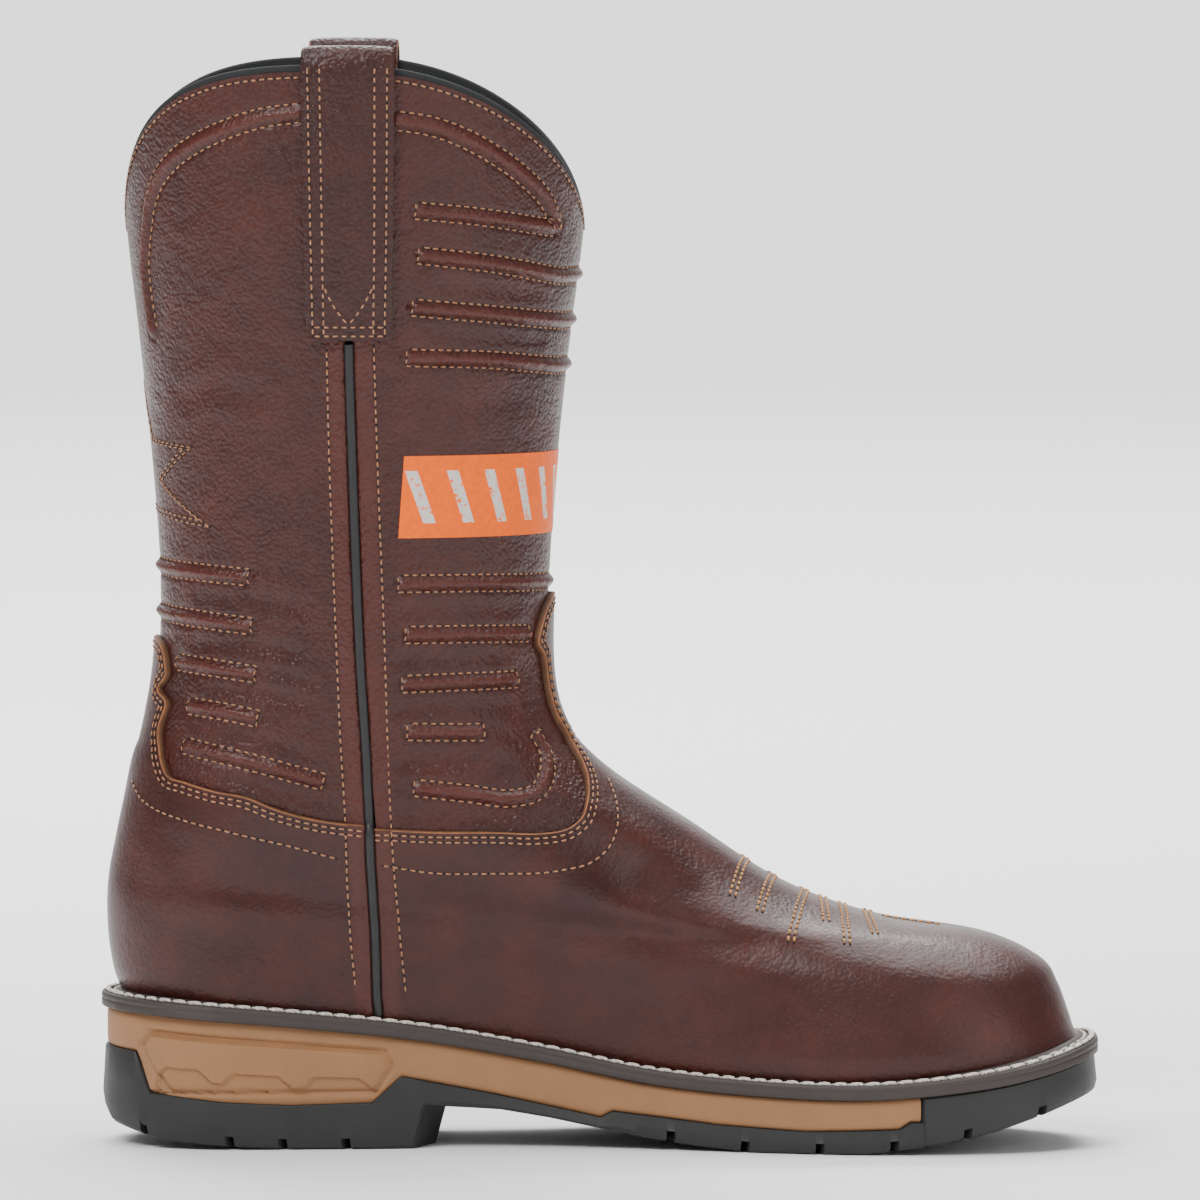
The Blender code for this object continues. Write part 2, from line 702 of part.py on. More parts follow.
def strap_line(q, side):
    """Middle line of a pull strap at a place across it, with its thickness direction."""
    half = STRAP_CLEARANCE + STRAP_THICKNESS / 2
    collar = find_ring(q, collar_height(1.0) - STRAP_BEND)
    low = find_ring(q, STRAP_BOTTOM)
    deep = find_ring(q, collar_height(1.0) - STRAP_INSIDE)
    points, ways = [], []
    for v in np.linspace(low, collar, 7):
        v = np.array(v)
        angle = turn(q, side, v)
        points.append(shell(angle, v, half))
        ways.append(shell(angle, v, 1.0) - form(angle, v))
    v = np.array(collar)
    angle = turn(q, side, v)
    out = ways[-1] * (1.0, 1.0, 0.0)
    out /= np.linalg.norm(out)
    middle = shell(angle, v, -WALL / 2)
    radius = WALL / 2 + half
    tall = radius + STRAP_RISE
    up = np.array((0.0, 0.0, 1.0))
    for turned in np.linspace(0.0, math.pi, 8)[1:-1]:
        points.append(middle + out * radius * math.cos(turned) + up * tall * math.sin(turned))
        way = out * math.cos(turned) * tall + up * math.sin(turned) * radius
        ways.append(way / np.linalg.norm(way))
    for v in np.linspace(collar, deep, 6):
        v = np.array(v)
        angle = turn(q, side, v)
        points.append(shell(angle, v, -WALL - half))
        ways.append(form(angle, v) - shell(angle, v, 1.0))
    return np.array(points), np.array(ways)


def make_strap(name, side, collection, material):
    """Pull strap: a leather band over the collar, sewn to the outside and the inside."""
    v = np.array(float(TOP_RING - 1))
    here, there = (form(turn(q, 1.0, v), v) for q in (0.95, 1.05))
    reach = STRAP_WIDTH / 2 / float(np.linalg.norm(here - there)) * 0.1
    outer, inner = [], []
    for share in np.linspace(-1.0, 1.0, 5):
        points, ways = strap_line(1.0 + share * reach, side)
        outer.append(points + ways * STRAP_THICKNESS / 2)
        inner.append(points - ways * STRAP_THICKNESS / 2)
    points, faces = closed_shell(np.array(outer), np.array(inner), False)
    return mesh_object(name, points, faces, collection, material)


def make_material(name, color, roughness):
    """Plain finish of one piece."""
    material = bpy.data.materials.new(name)
    material.use_nodes = True
    shader = material.node_tree.nodes["Principled BSDF"]
    shader.inputs["Base Color"].default_value = (*color, 1.0)
    shader.inputs["Roughness"].default_value = roughness
    shader.inputs["Metallic"].default_value = 0.0
    return material


def main():
    for obj in list(bpy.data.objects):
        bpy.data.objects.remove(obj, do_unlink=True)
    parts = bpy.data.collections.new("western work boot")
    cutters = bpy.data.collections.new("cutters")
    bpy.context.scene.collection.children.link(parts)
    bpy.context.scene.collection.children.link(cutters)

    dark_rubber = make_material("dark rubber", (0.055, 0.056, 0.058), 0.6)
    make_outsole(parts, cutters, dark_rubber)
    make_midsole(parts, make_material("tan foam", (0.39, 0.25, 0.16), 0.7))
    make_welt(parts, make_material("welt rubber", (0.085, 0.07, 0.062), 0.6))
    make_insole(parts, make_material("insole cloth", (0.03, 0.03, 0.03), 0.9))
    make_upper(parts, make_material("shaft leather", (0.12, 0.05, 0.035), 0.45))
    make_vamp(parts, make_material("vamp leather", (0.11, 0.045, 0.035), 0.45))
    make_counter(parts, make_material("counter leather", (0.11, 0.045, 0.035), 0.45))
    for name, side in (("inner", -1.0), ("outer", 1.0)):
        piping = make_material("piping " + name, (0.02, 0.022, 0.022), 0.5)
        make_piping("piping_" + name, side, parts, piping)
        strap = make_material("strap leather " + name, (0.12, 0.05, 0.04), 0.45)
        make_strap("pull_strap_" + name, side, parts, strap)


main()
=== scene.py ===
"""Dresses a western work boot over its solids and sets it on a pale studio floor.

The boot points to +X, its inner side is -Y, and the floor is at z = 0. All sizes are in
metres unless a table says millimetres. A point of the upper is named by its angle round
the boot from the back line and by its ring number, from the feather line upwards.
"""

import math

import bpy
import numpy as np
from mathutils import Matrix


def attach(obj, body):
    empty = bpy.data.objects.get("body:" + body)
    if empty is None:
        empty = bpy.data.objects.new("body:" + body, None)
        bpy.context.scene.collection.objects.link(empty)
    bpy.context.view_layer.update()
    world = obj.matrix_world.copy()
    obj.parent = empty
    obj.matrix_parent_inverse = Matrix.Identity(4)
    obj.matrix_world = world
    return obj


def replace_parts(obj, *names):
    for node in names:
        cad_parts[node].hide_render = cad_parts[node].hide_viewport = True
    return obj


bl_info = {
    "name": "Western work boot",
    "version": (1, 0, 0),
    "blender": (4, 5, 0),
    "location": "View3D > Sidebar > Boot",
    "description": "Leather, stitches, trim and sole of a western work boot",
    "category": "Object",
}

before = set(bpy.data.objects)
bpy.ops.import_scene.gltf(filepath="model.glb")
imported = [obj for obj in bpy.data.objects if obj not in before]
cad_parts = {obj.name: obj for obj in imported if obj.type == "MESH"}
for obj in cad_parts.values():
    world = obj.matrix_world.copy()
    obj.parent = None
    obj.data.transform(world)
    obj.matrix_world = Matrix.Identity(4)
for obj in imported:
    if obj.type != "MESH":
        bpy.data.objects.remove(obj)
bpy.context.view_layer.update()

# Lengths of the sole and its edge
LENGTH = 0.305
HEEL_REST = 0.076
BALL_WIDTH = 0.107
HEEL_WIDTH = 0.075
WELT_REACH = 0.0060
WELT_THICKNESS = 0.0046
SIDE_INSET = 0.0012
MIDSOLE_END = 0.2515

# Heights of the sole
HEEL_HEIGHT = 0.0462
BALL_HEIGHT = 0.0212
TOE_HEIGHT = 0.0330
ARCH_HEIGHT = 0.0132
TOE_SPRING = 0.0170
HEEL_BEVEL = 0.0110
PANEL_PROUD = 0.0010
TREAD_INSET = 0.0022
LUG_INSET = 0.0004
MIDSOLE_INSET = 0.0006
SPLIT_END = 0.0004

# Lugs cut into the tread from its sides
GROOVE_WIDTH = 0.0028
GROOVE_DEPTH = 0.0032
LUG_REACH = 0.0190
HEEL_GROOVES = (0.0131, 0.0395, 0.0557, 0.0750)
FIRST_TOE_GROOVE = 0.1744
TOE_GROOVE_PITCH = 0.0226
TOE_GROOVE_COUNT = 6

# Upper
WALL = 0.0022
OVERLAY = 0.0016
INSTEP_HEIGHT = 0.1225
COLLAR_HEIGHT = 0.2815
COLLAR_RISE = 0.0482
ANKLE_BACK = 0.0182
ANKLE_DEPTH = 0.1186
ANKLE_WIDTH = 0.0860
CALF_DEPTH = 0.1400
CALF_WIDTH = 0.1100
HEEL_CURVE = 0.0146
INSOLE_RISE = 0.0026
INSOLE_CLEARANCE = 0.0014
INSOLE_ROUND = 0.0012

# Trim
PIPING_RADIUS = 0.0015
STRAP_WIDTH = 0.0265
STRAP_THICKNESS = 0.0022
STRAP_BOTTOM = 0.2475
STRAP_INSIDE = 0.0750
STRAP_RISE = 0.0042
STRAP_BEND = 0.0020
STRAP_CLEARANCE = 0.0006
STRAP_ROWS = (60, 22, 50)
STRAP_EDGE = (0.94, 0.98, 1.0)
STRAP_THIN = 0.28
STRAP_STITCHES = (-0.84, -0.58, 0.58, 0.84)
STRAP_FOOT_ROWS = (1, 3)
STRAP_MARK = ((12, -0.56), (7, -0.28), (4, 0.0), (7, 0.28), (12, 0.56))

# Clearance between pieces that touch
GAP = 0.0003
SEAT_GAP = 0.0005

LAYER = OVERLAY + GAP
FEATHER = WELT_REACH + LAYER
ANKLE_FRONT = ANKLE_BACK + ANKLE_DEPTH
BACK_FLARE = 0.477
HEEL_ROUND = 0.125
HEEL_POWER = 2.1
TOE_ROUND = 0.165
TOE_POWER = 2.7
SCALLOP_BACK = 1.5
SCALLOP_FRONT = 1.2


def table(names, rows):
    """A table's columns as arrays, each under its name."""
    return dict(zip(names.split(), np.array(rows, dtype=float).T))


# Outline of the sole, seen from above: share of the length, share of the heel's and the
# ball's half width, and how far its middle line bends to the outer side
OUTLINE = table("share heel ball bend", (
    (0, 0.96, 0, 0), (0.12, 1, 0, 0), (0.25, 0.96, 0, 0.01), (0.38, 0.62, 0.22, 0.028),
    (0.5, 0.3, 0.51, 0.042), (0.6, 0.1, 0.77, 0.04), (0.68, 0, 0.945, 0.023), (0.76, 0, 1, 0),
    (0.84, 0, 0.975, -0.023), (0.92, 0, 0.905, -0.048), (1, 0, 0.82, -0.07),
))

# Top of the welt: share of the length, then how much of the heel's and of the toe's
# height over the ball it has there
WELT_LINE = table("share heel toe", (
    (0, 1, 0), (0.121, 0.9, 0), (0.202, 0.815, 0), (0.312, 0.67, 0), (0.441, 0.4, 0),
    (0.554, 0.135, 0), (0.669, 0.02, 0), (0.784, 0, 0.02), (0.859, 0, 0.2), (0.915, 0, 0.42),
    (0.959, 0, 0.68), (1, 0, 1),
))

# Line where the tan midsole meets the dark outsole: share of the length and of the
# height of the welt's underside
SPLIT_LINE = table("share height", (
    (0, 0.715), (0.031, 0.71), (0.047, 0.414), (0.12, 0.368), (0.188, 0.36), (0.2705, 0.405),
    (0.3, 0.65), (0.32, 0.634), (0.394, 0.57), (0.5016, 0.425), (0.5134, 0.526), (0.62, 0.457),
    (0.707, 0.411), (0.802, 0.455), (0.8134, 0.575),
))

# Tread: share of the length, then shares of the heel's bevel, the arch and the toe spring
TREAD_LINE = table("share bevel arch spring", (
    (0, 1, 0, 0), (0.0082, 0.6, 0, 0), (0.0574, 0.22, 0, 0), (0.128, 0.08, 0, 0),
    (0.185, 0, 0, 0), (0.3115, 0, 0, 0), (0.325, 0, 1, 0), (0.4, 0, 0.9, 0), (0.45, 0, 0.71, 0),
    (0.5, 0, 0.48, 0), (0.55, 0, 0.265, 0), (0.6, 0, 0.11, 0), (0.65, 0, 0, 0), (0.765, 0, 0, 0),
    (0.8, 0, 0, 0.07), (0.85, 0, 0, 0.2), (0.9, 0, 0, 0.41), (0.95, 0, 0, 0.69), (1, 0, 0, 1),
))

# Rings of the upper, from the feather line up to above the collar. A ring is a closed
# curve in a tilted plane, from the boot's back line to its front line. A level of 0 to 1
# climbs from the welt to the instep, and 1 to 2 from there to the collar.
RINGS = table(
    "back_level front_level swell reach flare sole_like width "
    "back_round front_round front_power lie bend seam", (
    (0.001, 0, 0.7, 1, 0, 1, 0.8, 0.125, 0.165, 2.7, 1, 1, 62),
    (0.09, 0.056, 0.86, 0.985, 0, 1, 0.8, 0.125, 0.17, 2.7, 0.85, 1, 63),
    (0.22, 0.168, 0.97, 0.962, 0, 0.84, 0.8, 0.13, 0.19, 2.6, 0.65, 0.95, 63.9),
    (0.351, 0.247, 1, 0.93, 0, 0.62, 0.84, 0.13, 0.23, 2.5, 0.45, 0.85, 64.6),
    (0.469, 0.327, 0.96, 0.826, 0, 0.36, 0.79, 0.14, 0.31, 2.5, 0.28, 0.7, 66.4),
    (0.613, 0.385, 0.82, 0.621, 0, 0.28, 0.83, 0.16, 0.42, 2.5, 0.15, 0.55, 70.7),
    (0.77, 0.502, 0.65, 0.44, 0, 0.1, 0.85, 0.2, 0.48, 2.5, 0.06, 0.4, 75.3),
    (0.941, 0.708, 0.46, 0.262, 0, 0.02, 0.87, 0.27, 0.5, 2.4, 0, 0.25, 81.1),
    (1.053, 0.874, 0.21, 0.12, 0, 0, 0.89, 0.35, 0.5, 2.3, 0, 0.15, 86.8),
    (1.135, 1.009, 0.06, 0.039, 0, 0, 0.92, 0.43, 0.5, 2.2, 0, 0.08, 90.7),
    (1.223, 1.114, 0, 0.004, 0, 0, 0.955, 0.48, 0.5, 2.1, 0, 0.03, 92.1),
    (1.362, 1.286, 0, 0, 0.02, 0, 1, 0.5, 0.5, 2.05, 0, 0, 91.4),
    (1.563, 1.544, 0, 0, 0.26, 0, 1, 0.5, 0.5, 2, 0, 0, 90.1),
    (1.783, 1.783, 0, 0, 0.62, 0, 1, 0.5, 0.5, 2, 0, 0, 89.1),
    (2, 2, 0, 0, 1, 0, 1, 0.5, 0.5, 2, 0, 0, 88.9),
    (2.31, 2.31, 0, 0, 1.35, 0, 1, 0.5, 0.5, 2, 0, 0, 88.6),
))
SWELL_WIDTH = 1.05

TOP_RING = len(RINGS["seam"]) - 1

# Edges of the leather in the side view, in millimetres: length from the heel's rest and
# height over the floor
VAMP_LINE = (
    (8, 98.1), (23.2, 97.3), (44.2, 97), (58.5, 96.4), (65.5, 97.2), (70, 99.8), (72.1, 104.7),
    (72.4, 108),
)
COUNTER_LINE = (
    (5, 99.2), (-0.8, 99.6), (-22.6, 104.4), (-29.6, 107.3), (-40, 109.2), (-48.6, 111.5),
    (-54.2, 113.6),
)
# Upright tongues: degrees from the front line or the back line, and height in millimetres
VAMP_NECK = ((23, 115), (15, 120.2), (11.7, 124))
VAMP_TONGUE = (
    (11.7, 124), (13.4, 128), (14.6, 138.7), (15.4, 147), (21.5, 154), (17.4, 160.8), (9, 166.2),
    (0, 168),
)
COUNTER_NECK = ((26.5, 117.2), (23.6, 121.5), (21.4, 126.7))
COUNTER_TONGUE = (
    (21.4, 126.7), (23.8, 134.6), (16.2, 139), (21.4, 143.8), (18, 150.5), (9, 154), (0, 154.4),
)

# Padded lines of the shaft, in the side view in millimetres, the same on both sides.
# A bar of the first group runs on round the front, and of the second round the back.
FRONT_CORD = (
    (15.5, 313.6), (25.4, 312), (35.6, 308.3), (44.1, 303.6), (53.4, 296.7), (60.6, 288.9),
    (63.9, 281.2),
)
BACK_CORD = (
    (-13.7, 316), (-25.2, 314.4), (-35.9, 311), (-44.8, 306.9), (-52, 301.9), (-57.3, 295.6),
    (-59.9, 288.8), (-61.2, 280.2), (-61.9, 270.3), (-60.9, 258.1), (-59.4, 249),
)
FRONT_BARS = (
    ((22.9, 272.7), (46.4, 269.6), (65, 265.4)),
    ((21.1, 256.9), (46.4, 254.3), (66, 251.6)),
    ((19.3, 241.7), (46.4, 240.4), (64, 238)),
    ((16.7, 172.9), (40.3, 172.7), (58, 172)),
)
SHORT_BARS = (
    ((22.1, 286.3), (40.4, 284.3), (62.6, 280.4)),
    ((18.8, 157.3), (37.2, 157.2), (54.3, 156.6)),
    ((17.8, 142.3), (34.2, 142.7), (50.6, 142.8)),
    ((19.3, 127.7), (29, 127.5), (40.2, 127.3)),
    ((21.4, 110.5), (37.2, 108.7), (50.4, 107.3), (57.6, 109.1), (60.8, 114.6),
     (60.5, 120.2), (57.8, 125.2)),
    ((-51.4, 147.8), (-40.3, 146.6), (-29, 145.2)),
    ((-47.6, 134.7), (-37.2, 133.4), (-28.4, 131.8)),
    ((-49.1, 122.6), (-29.6, 118.4), (-8.6, 112.7)),
)
BACK_BARS = (
    ((-31, 174.7), (-44.9, 175.6), (-54.6, 176.2)),
    ((-30.1, 159.8), (-45, 161.3), (-54.2, 162.2)),
)

# Single and double rows of stitches
SEAM_BACK_ROW = (
    (-5.9, 244), (-5.3, 213.7), (-4.2, 180.3), (-3.3, 156.1), (-2.1, 125.7), (-0.6, 98.3),
    (0, 77.1), (1.2, 58.8), (2.1, 49.5),
)
SEAM_FRONT_ROW = (
    (8.3, 245.5), (9.2, 213.7), (10.4, 180.3), (11.3, 156.1), (12.2, 125.7), (13.3, 98.3),
    (14.8, 77.1), (16.3, 58.8), (17.4, 47.5),
)
COUNTER_ROW = (
    (-3.4, 89.3), (-18.4, 93.3), (-29.6, 95.8), (-37.2, 97.6), (-45.2, 99.3), (-52, 101.1),
    (-56.7, 102.7), (-61.7, 105.8), (-64.6, 111),
)
VAMP_ROW = (
    (10.6, 87.4), (23.2, 85.3), (44.2, 84.8), (65.2, 85.4), (73.7, 87.4), (78.8, 91.5),
    (81.2, 97.4), (80.6, 104.6), (78, 110.6),
)
# Star at the back: degrees from the back line and height in millimetres
STAR = (
    (0, 233), (11, 215.5), (38, 213.7), (17, 202.7), (44, 189.6), (0, 194),
)
# Fingers of gold stitches over the toe: length and height at the side, length on top
TOE_FINGERS = (
    (116.4, 75.6, 120.6), (124.8, 71, 129), (134.6, 62.6, 139), (145.2, 67.4, 144.2),
    (151.6, 61.6, 150.2), (160.2, 63.8, 157.6),
)
TOE_LINE = (163.0, 181.0)
TOE_SEARCH = (1.5, 8.0, 400)

# Soft creases, in the side view in millimetres, then depth and half width
CREASES = (
    (((-50, 229), (-40, 232), (-28, 230)), 0.30, 3.4),
    (((-44, 168), (-30, 168.5), (-14, 166)), 0.35, 2.6),
    (((-46, 153.5), (-33, 154.5), (-16, 152)), 0.40, 2.4),
    (((-40, 139.8), (-26, 139.5), (-12, 136)), 0.40, 2.4),
    (((-36, 126.5), (-22, 124), (-12, 120.5)), 0.35, 2.2),
    (((-24, 146), (-16, 144.5), (-10, 142)), 0.30, 1.8),
    (((16, 149.6), (28, 150.2), (46, 149.6)), 0.45, 2.6),
    (((16, 134.8), (30, 135.4), (50, 134.6)), 0.50, 2.6),
    (((18, 119), (30, 119.6), (48, 117.5)), 0.55, 3),
    (((44, 127.5), (50, 125), (54, 121)), 0.15, 2.6),
    (((18, 165), (34, 165.2), (50, 164.6)), 0.35, 2.4),
    (((30, 263.5), (44, 262.3), (58, 260)), 0.30, 2.6),
    (((30, 248.5), (44, 247.6), (58, 246)), 0.30, 2.6),
    (((24, 230), (38, 227), (52, 228.5)), 0.25, 3.6),
    (((16, 103), (32, 102.2), (50, 101.6)), 0.40, 2.4),
    (((-34, 112.4), (-20, 109.6), (-6, 105.4)), 0.35, 2),
)
FOOT_CREASES = (
    (((88, 84), (92, 72), (95, 60)), 0.35, 5),
    (((104, 76), (107, 64), (108, 52)), 0.30, 5),
    (((30, 72), (44, 60), (62, 52)), 0.30, 6),
    (((-52, 92), (-38, 84), (-22, 80)), 0.25, 5),
    (((-60, 74), (-44, 68), (-26, 66)), 0.22, 5),
)

# Printed panel on the front of the shaft: length of its back edge and heights, in
# millimetres, at its upper and lower corner
PANEL_TOP = (17.4, 211.8)
PANEL_LOW = (15.6, 186.8)

# Moulded heel panel in the side view, in millimetres: its outline and its stepped line
HEEL_PANEL = (
    (-65.1, 31.1), (-62, 35.5), (9.9, 29.8), (12.5, 25.2), (7.9, 17.5), (-56, 17.2),
    (-65.1, 31.1),
)
HEEL_STEP = (
    (-59.4, 22.2), (-56.3, 24.9), (-46.4, 24.3), (-42.2, 20.4), (-39.1, 20.1), (-35.4, 23.2),
    (-21.9, 22.2), (-17.7, 18.6), (-14, 18.6), (-10.9, 22), (2.6, 21.7), (7.9, 17.5),
)

# Fineness of the surfaces
MM = 0.001
SIDES = (("inner", -1.0), ("outer", 1.0))
SHAFT_ROWS = 285
BACK_FINE = 240
FRONT_FINE = 250
PANEL_ROWS = 120
PANEL_COLUMNS = 170
TONGUE_COLUMNS = 20
PRINT_ROWS = 34
PRINT_COLUMNS = 150

# Leather, film and stitches
SHAFT_LOW = 0.088
SHAFT_GAP = 0.012
COLLAR_INSET = 0.0012
COLLAR_ROW = 0.0017
COLLAR_SPANS = (np.linspace(0.0, 0.9, 90), np.linspace(1.12, 2.0, 110))
HEM = 0.0018
SEAM_GAP = 0.0012
WELT_SINK = 0.0010
CREASE_DEPTH = 0.0010
EDGE_WIDE = 0.00025
EDGE_PROFILE = (
    (-1, 0.00005, 0.0), (0, 0.00005, 0.0), (1, -LAYER * 0.3, 0.6), (1, -LAYER * 1.2, 1.0),
)
EDGE_ROWS = (0.0014, 0.0030)
LINE_REACH = 0.016
STITCH_BESIDE = 0.00035
GROOVE_HALF = 0.0006
RIDGE_POWER = 1.3
RIM_WIDE = 0.9
COLLAR_FADE = 0.003
FINGER_ROW = 0.0009
STAR_ROWS = 0.10
FILM = 0.00022
PRINT_RATIO = 4.6
BAR_LEAN = -0.32
BAR_COUNT = 2.6
BAR_START = 0.4
BAR_SHARE = 0.15
BAR_TALL = 0.32
FOXING_AT_SEAM = 0.0985
FOXING_FADE = 0.004
PIPING_LIFT = 0.0004
FOLD_RISE = 0.0010
FOLD_AT = 0.0028
FOLD_HALF = 0.0022
FOLD_DROP = 0.0016
FOLD_EDGE = 0.0022
SEAM_WARM = 0.0076
SEAM_FADE = 0.0012
SEAM_TONE = 0.75
BAR_END = 0.0012
LINING_RIM = (
    (-WALL, -0.0002), (-WALL * 0.92, 0.0004), (-WALL * 0.62, 0.0008), (-WALL * 0.3, 0.0006),
    (-WALL * 0.2, 0.0), (-WALL * 0.3, -0.004),
)

# Moulding of the sole
PANEL_GROOVE = 0.0010
PANEL_STEP = 0.0009
LAYER_REACH = 0.012
GROOVE_CUT = 0.43
SOLE_FINE = 420

MIDSOLE_ROWS = 46
LUG_EDGES = (-0.5, -0.42, 0.42, 0.5)
FLOOR_SHARES = (0.3, 0.6, 0.9, 1.0)
# Side of the outsole: share of its height, and inset
OUTSOLE_SIDE = (
    (1.0, LAYER_REACH), (1.0, SIDE_INSET + 0.0004), (0.97, SIDE_INSET), (0.6, 0.0008),
    (0.25, LUG_INSET), (0.06, LUG_INSET + 0.0005), (0.0, TREAD_INSET),
)
# Edge of the welt: inset, and share of its thickness below its top
WELT_PROFILE = (
    (0.0004, 1.0), (0.0, 0.92), (0.0, 0.55), (0.0002, 0.46), (0.0, 0.36), (0.0, 0.2),
    (0.0003, 0.06), (0.0008, 0.0), (0.0014, 0.08), (0.0026, 0.08), (0.0032, 0.0),
    (0.0038, 0.06), (0.0046, 0.06), (0.0052, -0.10), (0.0066, -0.14),
)
# Rows of the welt's stitches: inset and lift
WELT_ROW = (0.0020, 0.0003)
WELT_INNER_ROW = (0.0042, 0.0)

# Heel panel: width of its groove and its step, its lower edge, and its slanted upper edge
MOULD_GROOVE = 0.0008
MOULD_STEP = 0.0006
STEP_FLOOR = 0.0176
WINDOW_FLOOR = 0.0172
WINDOW_TOP = 0.0352
WINDOW_FALL = 0.079
WINDOW_START = -0.062
WINDOW_ENDS = (-65.0, -60.0, 5.0, 12.0)

# Studio
BACKDROP = 5.2
BEND = 1.2
FLOOR_REACH = 7.0
WALL_TOP = 6.0
CAMERA_PLACE = (0.0767, -4.400, 0.430)
CAMERA_TARGET = (0.0767, 0.0, 0.1655)
CAMERA_LENS = 432.2
LIGHT_TARGET = (0.05, 0.0, 0.14)
LIGHTS = (
    ("key", (-0.9, -1.5, 1.9), 1.3, 54.0, LIGHT_TARGET),
    ("fill", (1.6, -1.7, 0.9), 1.6, 14.0, LIGHT_TARGET),
    ("top", (0.5, 0.3, 2.2), 1.6, 40.0, LIGHT_TARGET),
    ("back", (-0.6, 1.5, 1.5), 1.2, 26.0, LIGHT_TARGET),
    ("wall", (0.1, 2.6, 3.2), 2.4, 300.0, (0.1, 4.6, 0.0)),
)
AIR_STRENGTH = 0.36
PAPER_TONES = (np.full(3, 0.86), np.full(3, 0.90))


def curve(knots, values, places):
    """Smooth curve through the values at the knots, read at the places."""
    step = np.diff(knots)
    rise = np.diff(values) / step
    slope = np.empty_like(values)
    slope[1:-1] = (step[1:] * rise[:-1] + step[:-1] * rise[1:]) / (step[1:] + step[:-1])
    slope[0], slope[-1] = rise[0], rise[-1]
    places = np.clip(places, knots[0], knots[-1])
    cell = np.clip(np.searchsorted(knots, places, side="right") - 1, 0, len(step) - 1)
    wide = step[cell]
    part = (places - knots[cell]) / wide
    return (
        (1 + 2 * part) * (1 - part) ** 2 * values[cell]
        + part * (1 - part) ** 2 * wide * slope[cell]
        + part ** 2 * (3 - 2 * part) * values[cell + 1]
        - part ** 2 * (1 - part) * wide * slope[cell + 1]
    )


def read(columns, name, places):
    """Named column of a table against its share, as a smooth curve."""
    return curve(columns["share"], columns[name], places)


def ring_value(name, v):
    """Named column of the rings at ring number v, which may lie between two rings."""
    return curve(np.arange(TOP_RING + 1.0), RINGS[name], v)


def round_end(t, reach, power):
    """Rises from 0 at the end of an outline to 1 at the given reach from it."""
    back = np.clip((reach - t) / reach, 0.0, 1.0)
    return (1.0 - back ** power) ** (1.0 / power)


def sole_half(s):
    """Half width of the sole at a share of its length, before its ends are rounded."""
    heel = read(OUTLINE, "heel", s) * HEEL_WIDTH / 2
    return heel + read(OUTLINE, "ball", s) * BALL_WIDTH / 2


def sole_middle(s):
    """Place across of the sole's middle line."""
    return read(OUTLINE, "bend", s) * BALL_WIDTH


def sole_edge(s, side, inset):
    """Points of the sole's outline, moved inwards by the inset."""
    rounding = round_end(s, HEEL_ROUND, HEEL_POWER) * round_end(1 - s, TOE_ROUND, TOE_POWER)
    x = inset + s * (LENGTH - 2 * inset) - HEEL_REST
    y = sole_middle(s) + side * (sole_half(s) - inset) * rounding
    return x, y


def welt_top(s):
    """Height of the welt's upper face."""
    heel = read(WELT_LINE, "heel", s) * (HEEL_HEIGHT - BALL_HEIGHT)
    toe = read(WELT_LINE, "toe", s) * (TOE_HEIGHT - BALL_HEIGHT)
    return BALL_HEIGHT + heel + toe


def welt_bottom(s):
    """Height of the welt's underside."""
    return welt_top(s) - WELT_THICKNESS


def split_corners(lift):
    """Corners of the line between midsole and outsole, moved up along their normals."""
    share = SPLIT_LINE["share"]
    x = share * LENGTH
    z = SPLIT_LINE["height"] * welt_bottom(share)
    way_x = np.gradient(x)
    way_z = np.gradient(z)
    size = np.hypot(way_x, way_z)
    inner = np.ones(len(x))
    inner[0] = 0.0
    return (x - inner * way_z / size * lift) / LENGTH, z + way_x / size * lift


def split_height(s, lift):
    """Height of that line, with the lift."""
    share, z = split_corners(lift)
    return np.interp(s, share, z)


def tread_height(s):
    """Height of the tread's underside over the floor."""
    share = TREAD_LINE["share"]
    z = (
        TREAD_LINE["bevel"] * HEEL_BEVEL
        + TREAD_LINE["arch"] * ARCH_HEIGHT
        + TREAD_LINE["spring"] * TOE_SPRING
    )
    return np.interp(s, share, z)


def level_height(level, seat):
    """Height of a level: 0 to 1 from the seat to the instep, 1 to 2 on to the collar."""
    low = seat + np.minimum(level, 1.0) * (INSTEP_HEIGHT - seat)
    return low + np.maximum(level - 1.0, 0.0) * (COLLAR_HEIGHT - INSTEP_HEIGHT)


def seam_angle(v):
    """Angle of the side seam around ring v, from the back."""
    return np.radians(ring_value("seam", v))


def limits(v):
    """Length from the heel's back of ring v's back line and front line."""
    flare = ring_value("flare", v)
    grow = CALF_DEPTH - ANKLE_DEPTH
    seat = np.clip(1.0 - v, 0.0, 1.0)
    back = ANKLE_BACK - ring_value("swell", v) * HEEL_CURVE - flare * BACK_FLARE * grow
    front = ANKLE_FRONT + ring_value("reach", v) * (LENGTH - FEATHER - ANKLE_FRONT)
    return back * (1 - seat) + FEATHER * seat, front + flare * (1 - BACK_FLARE) * grow


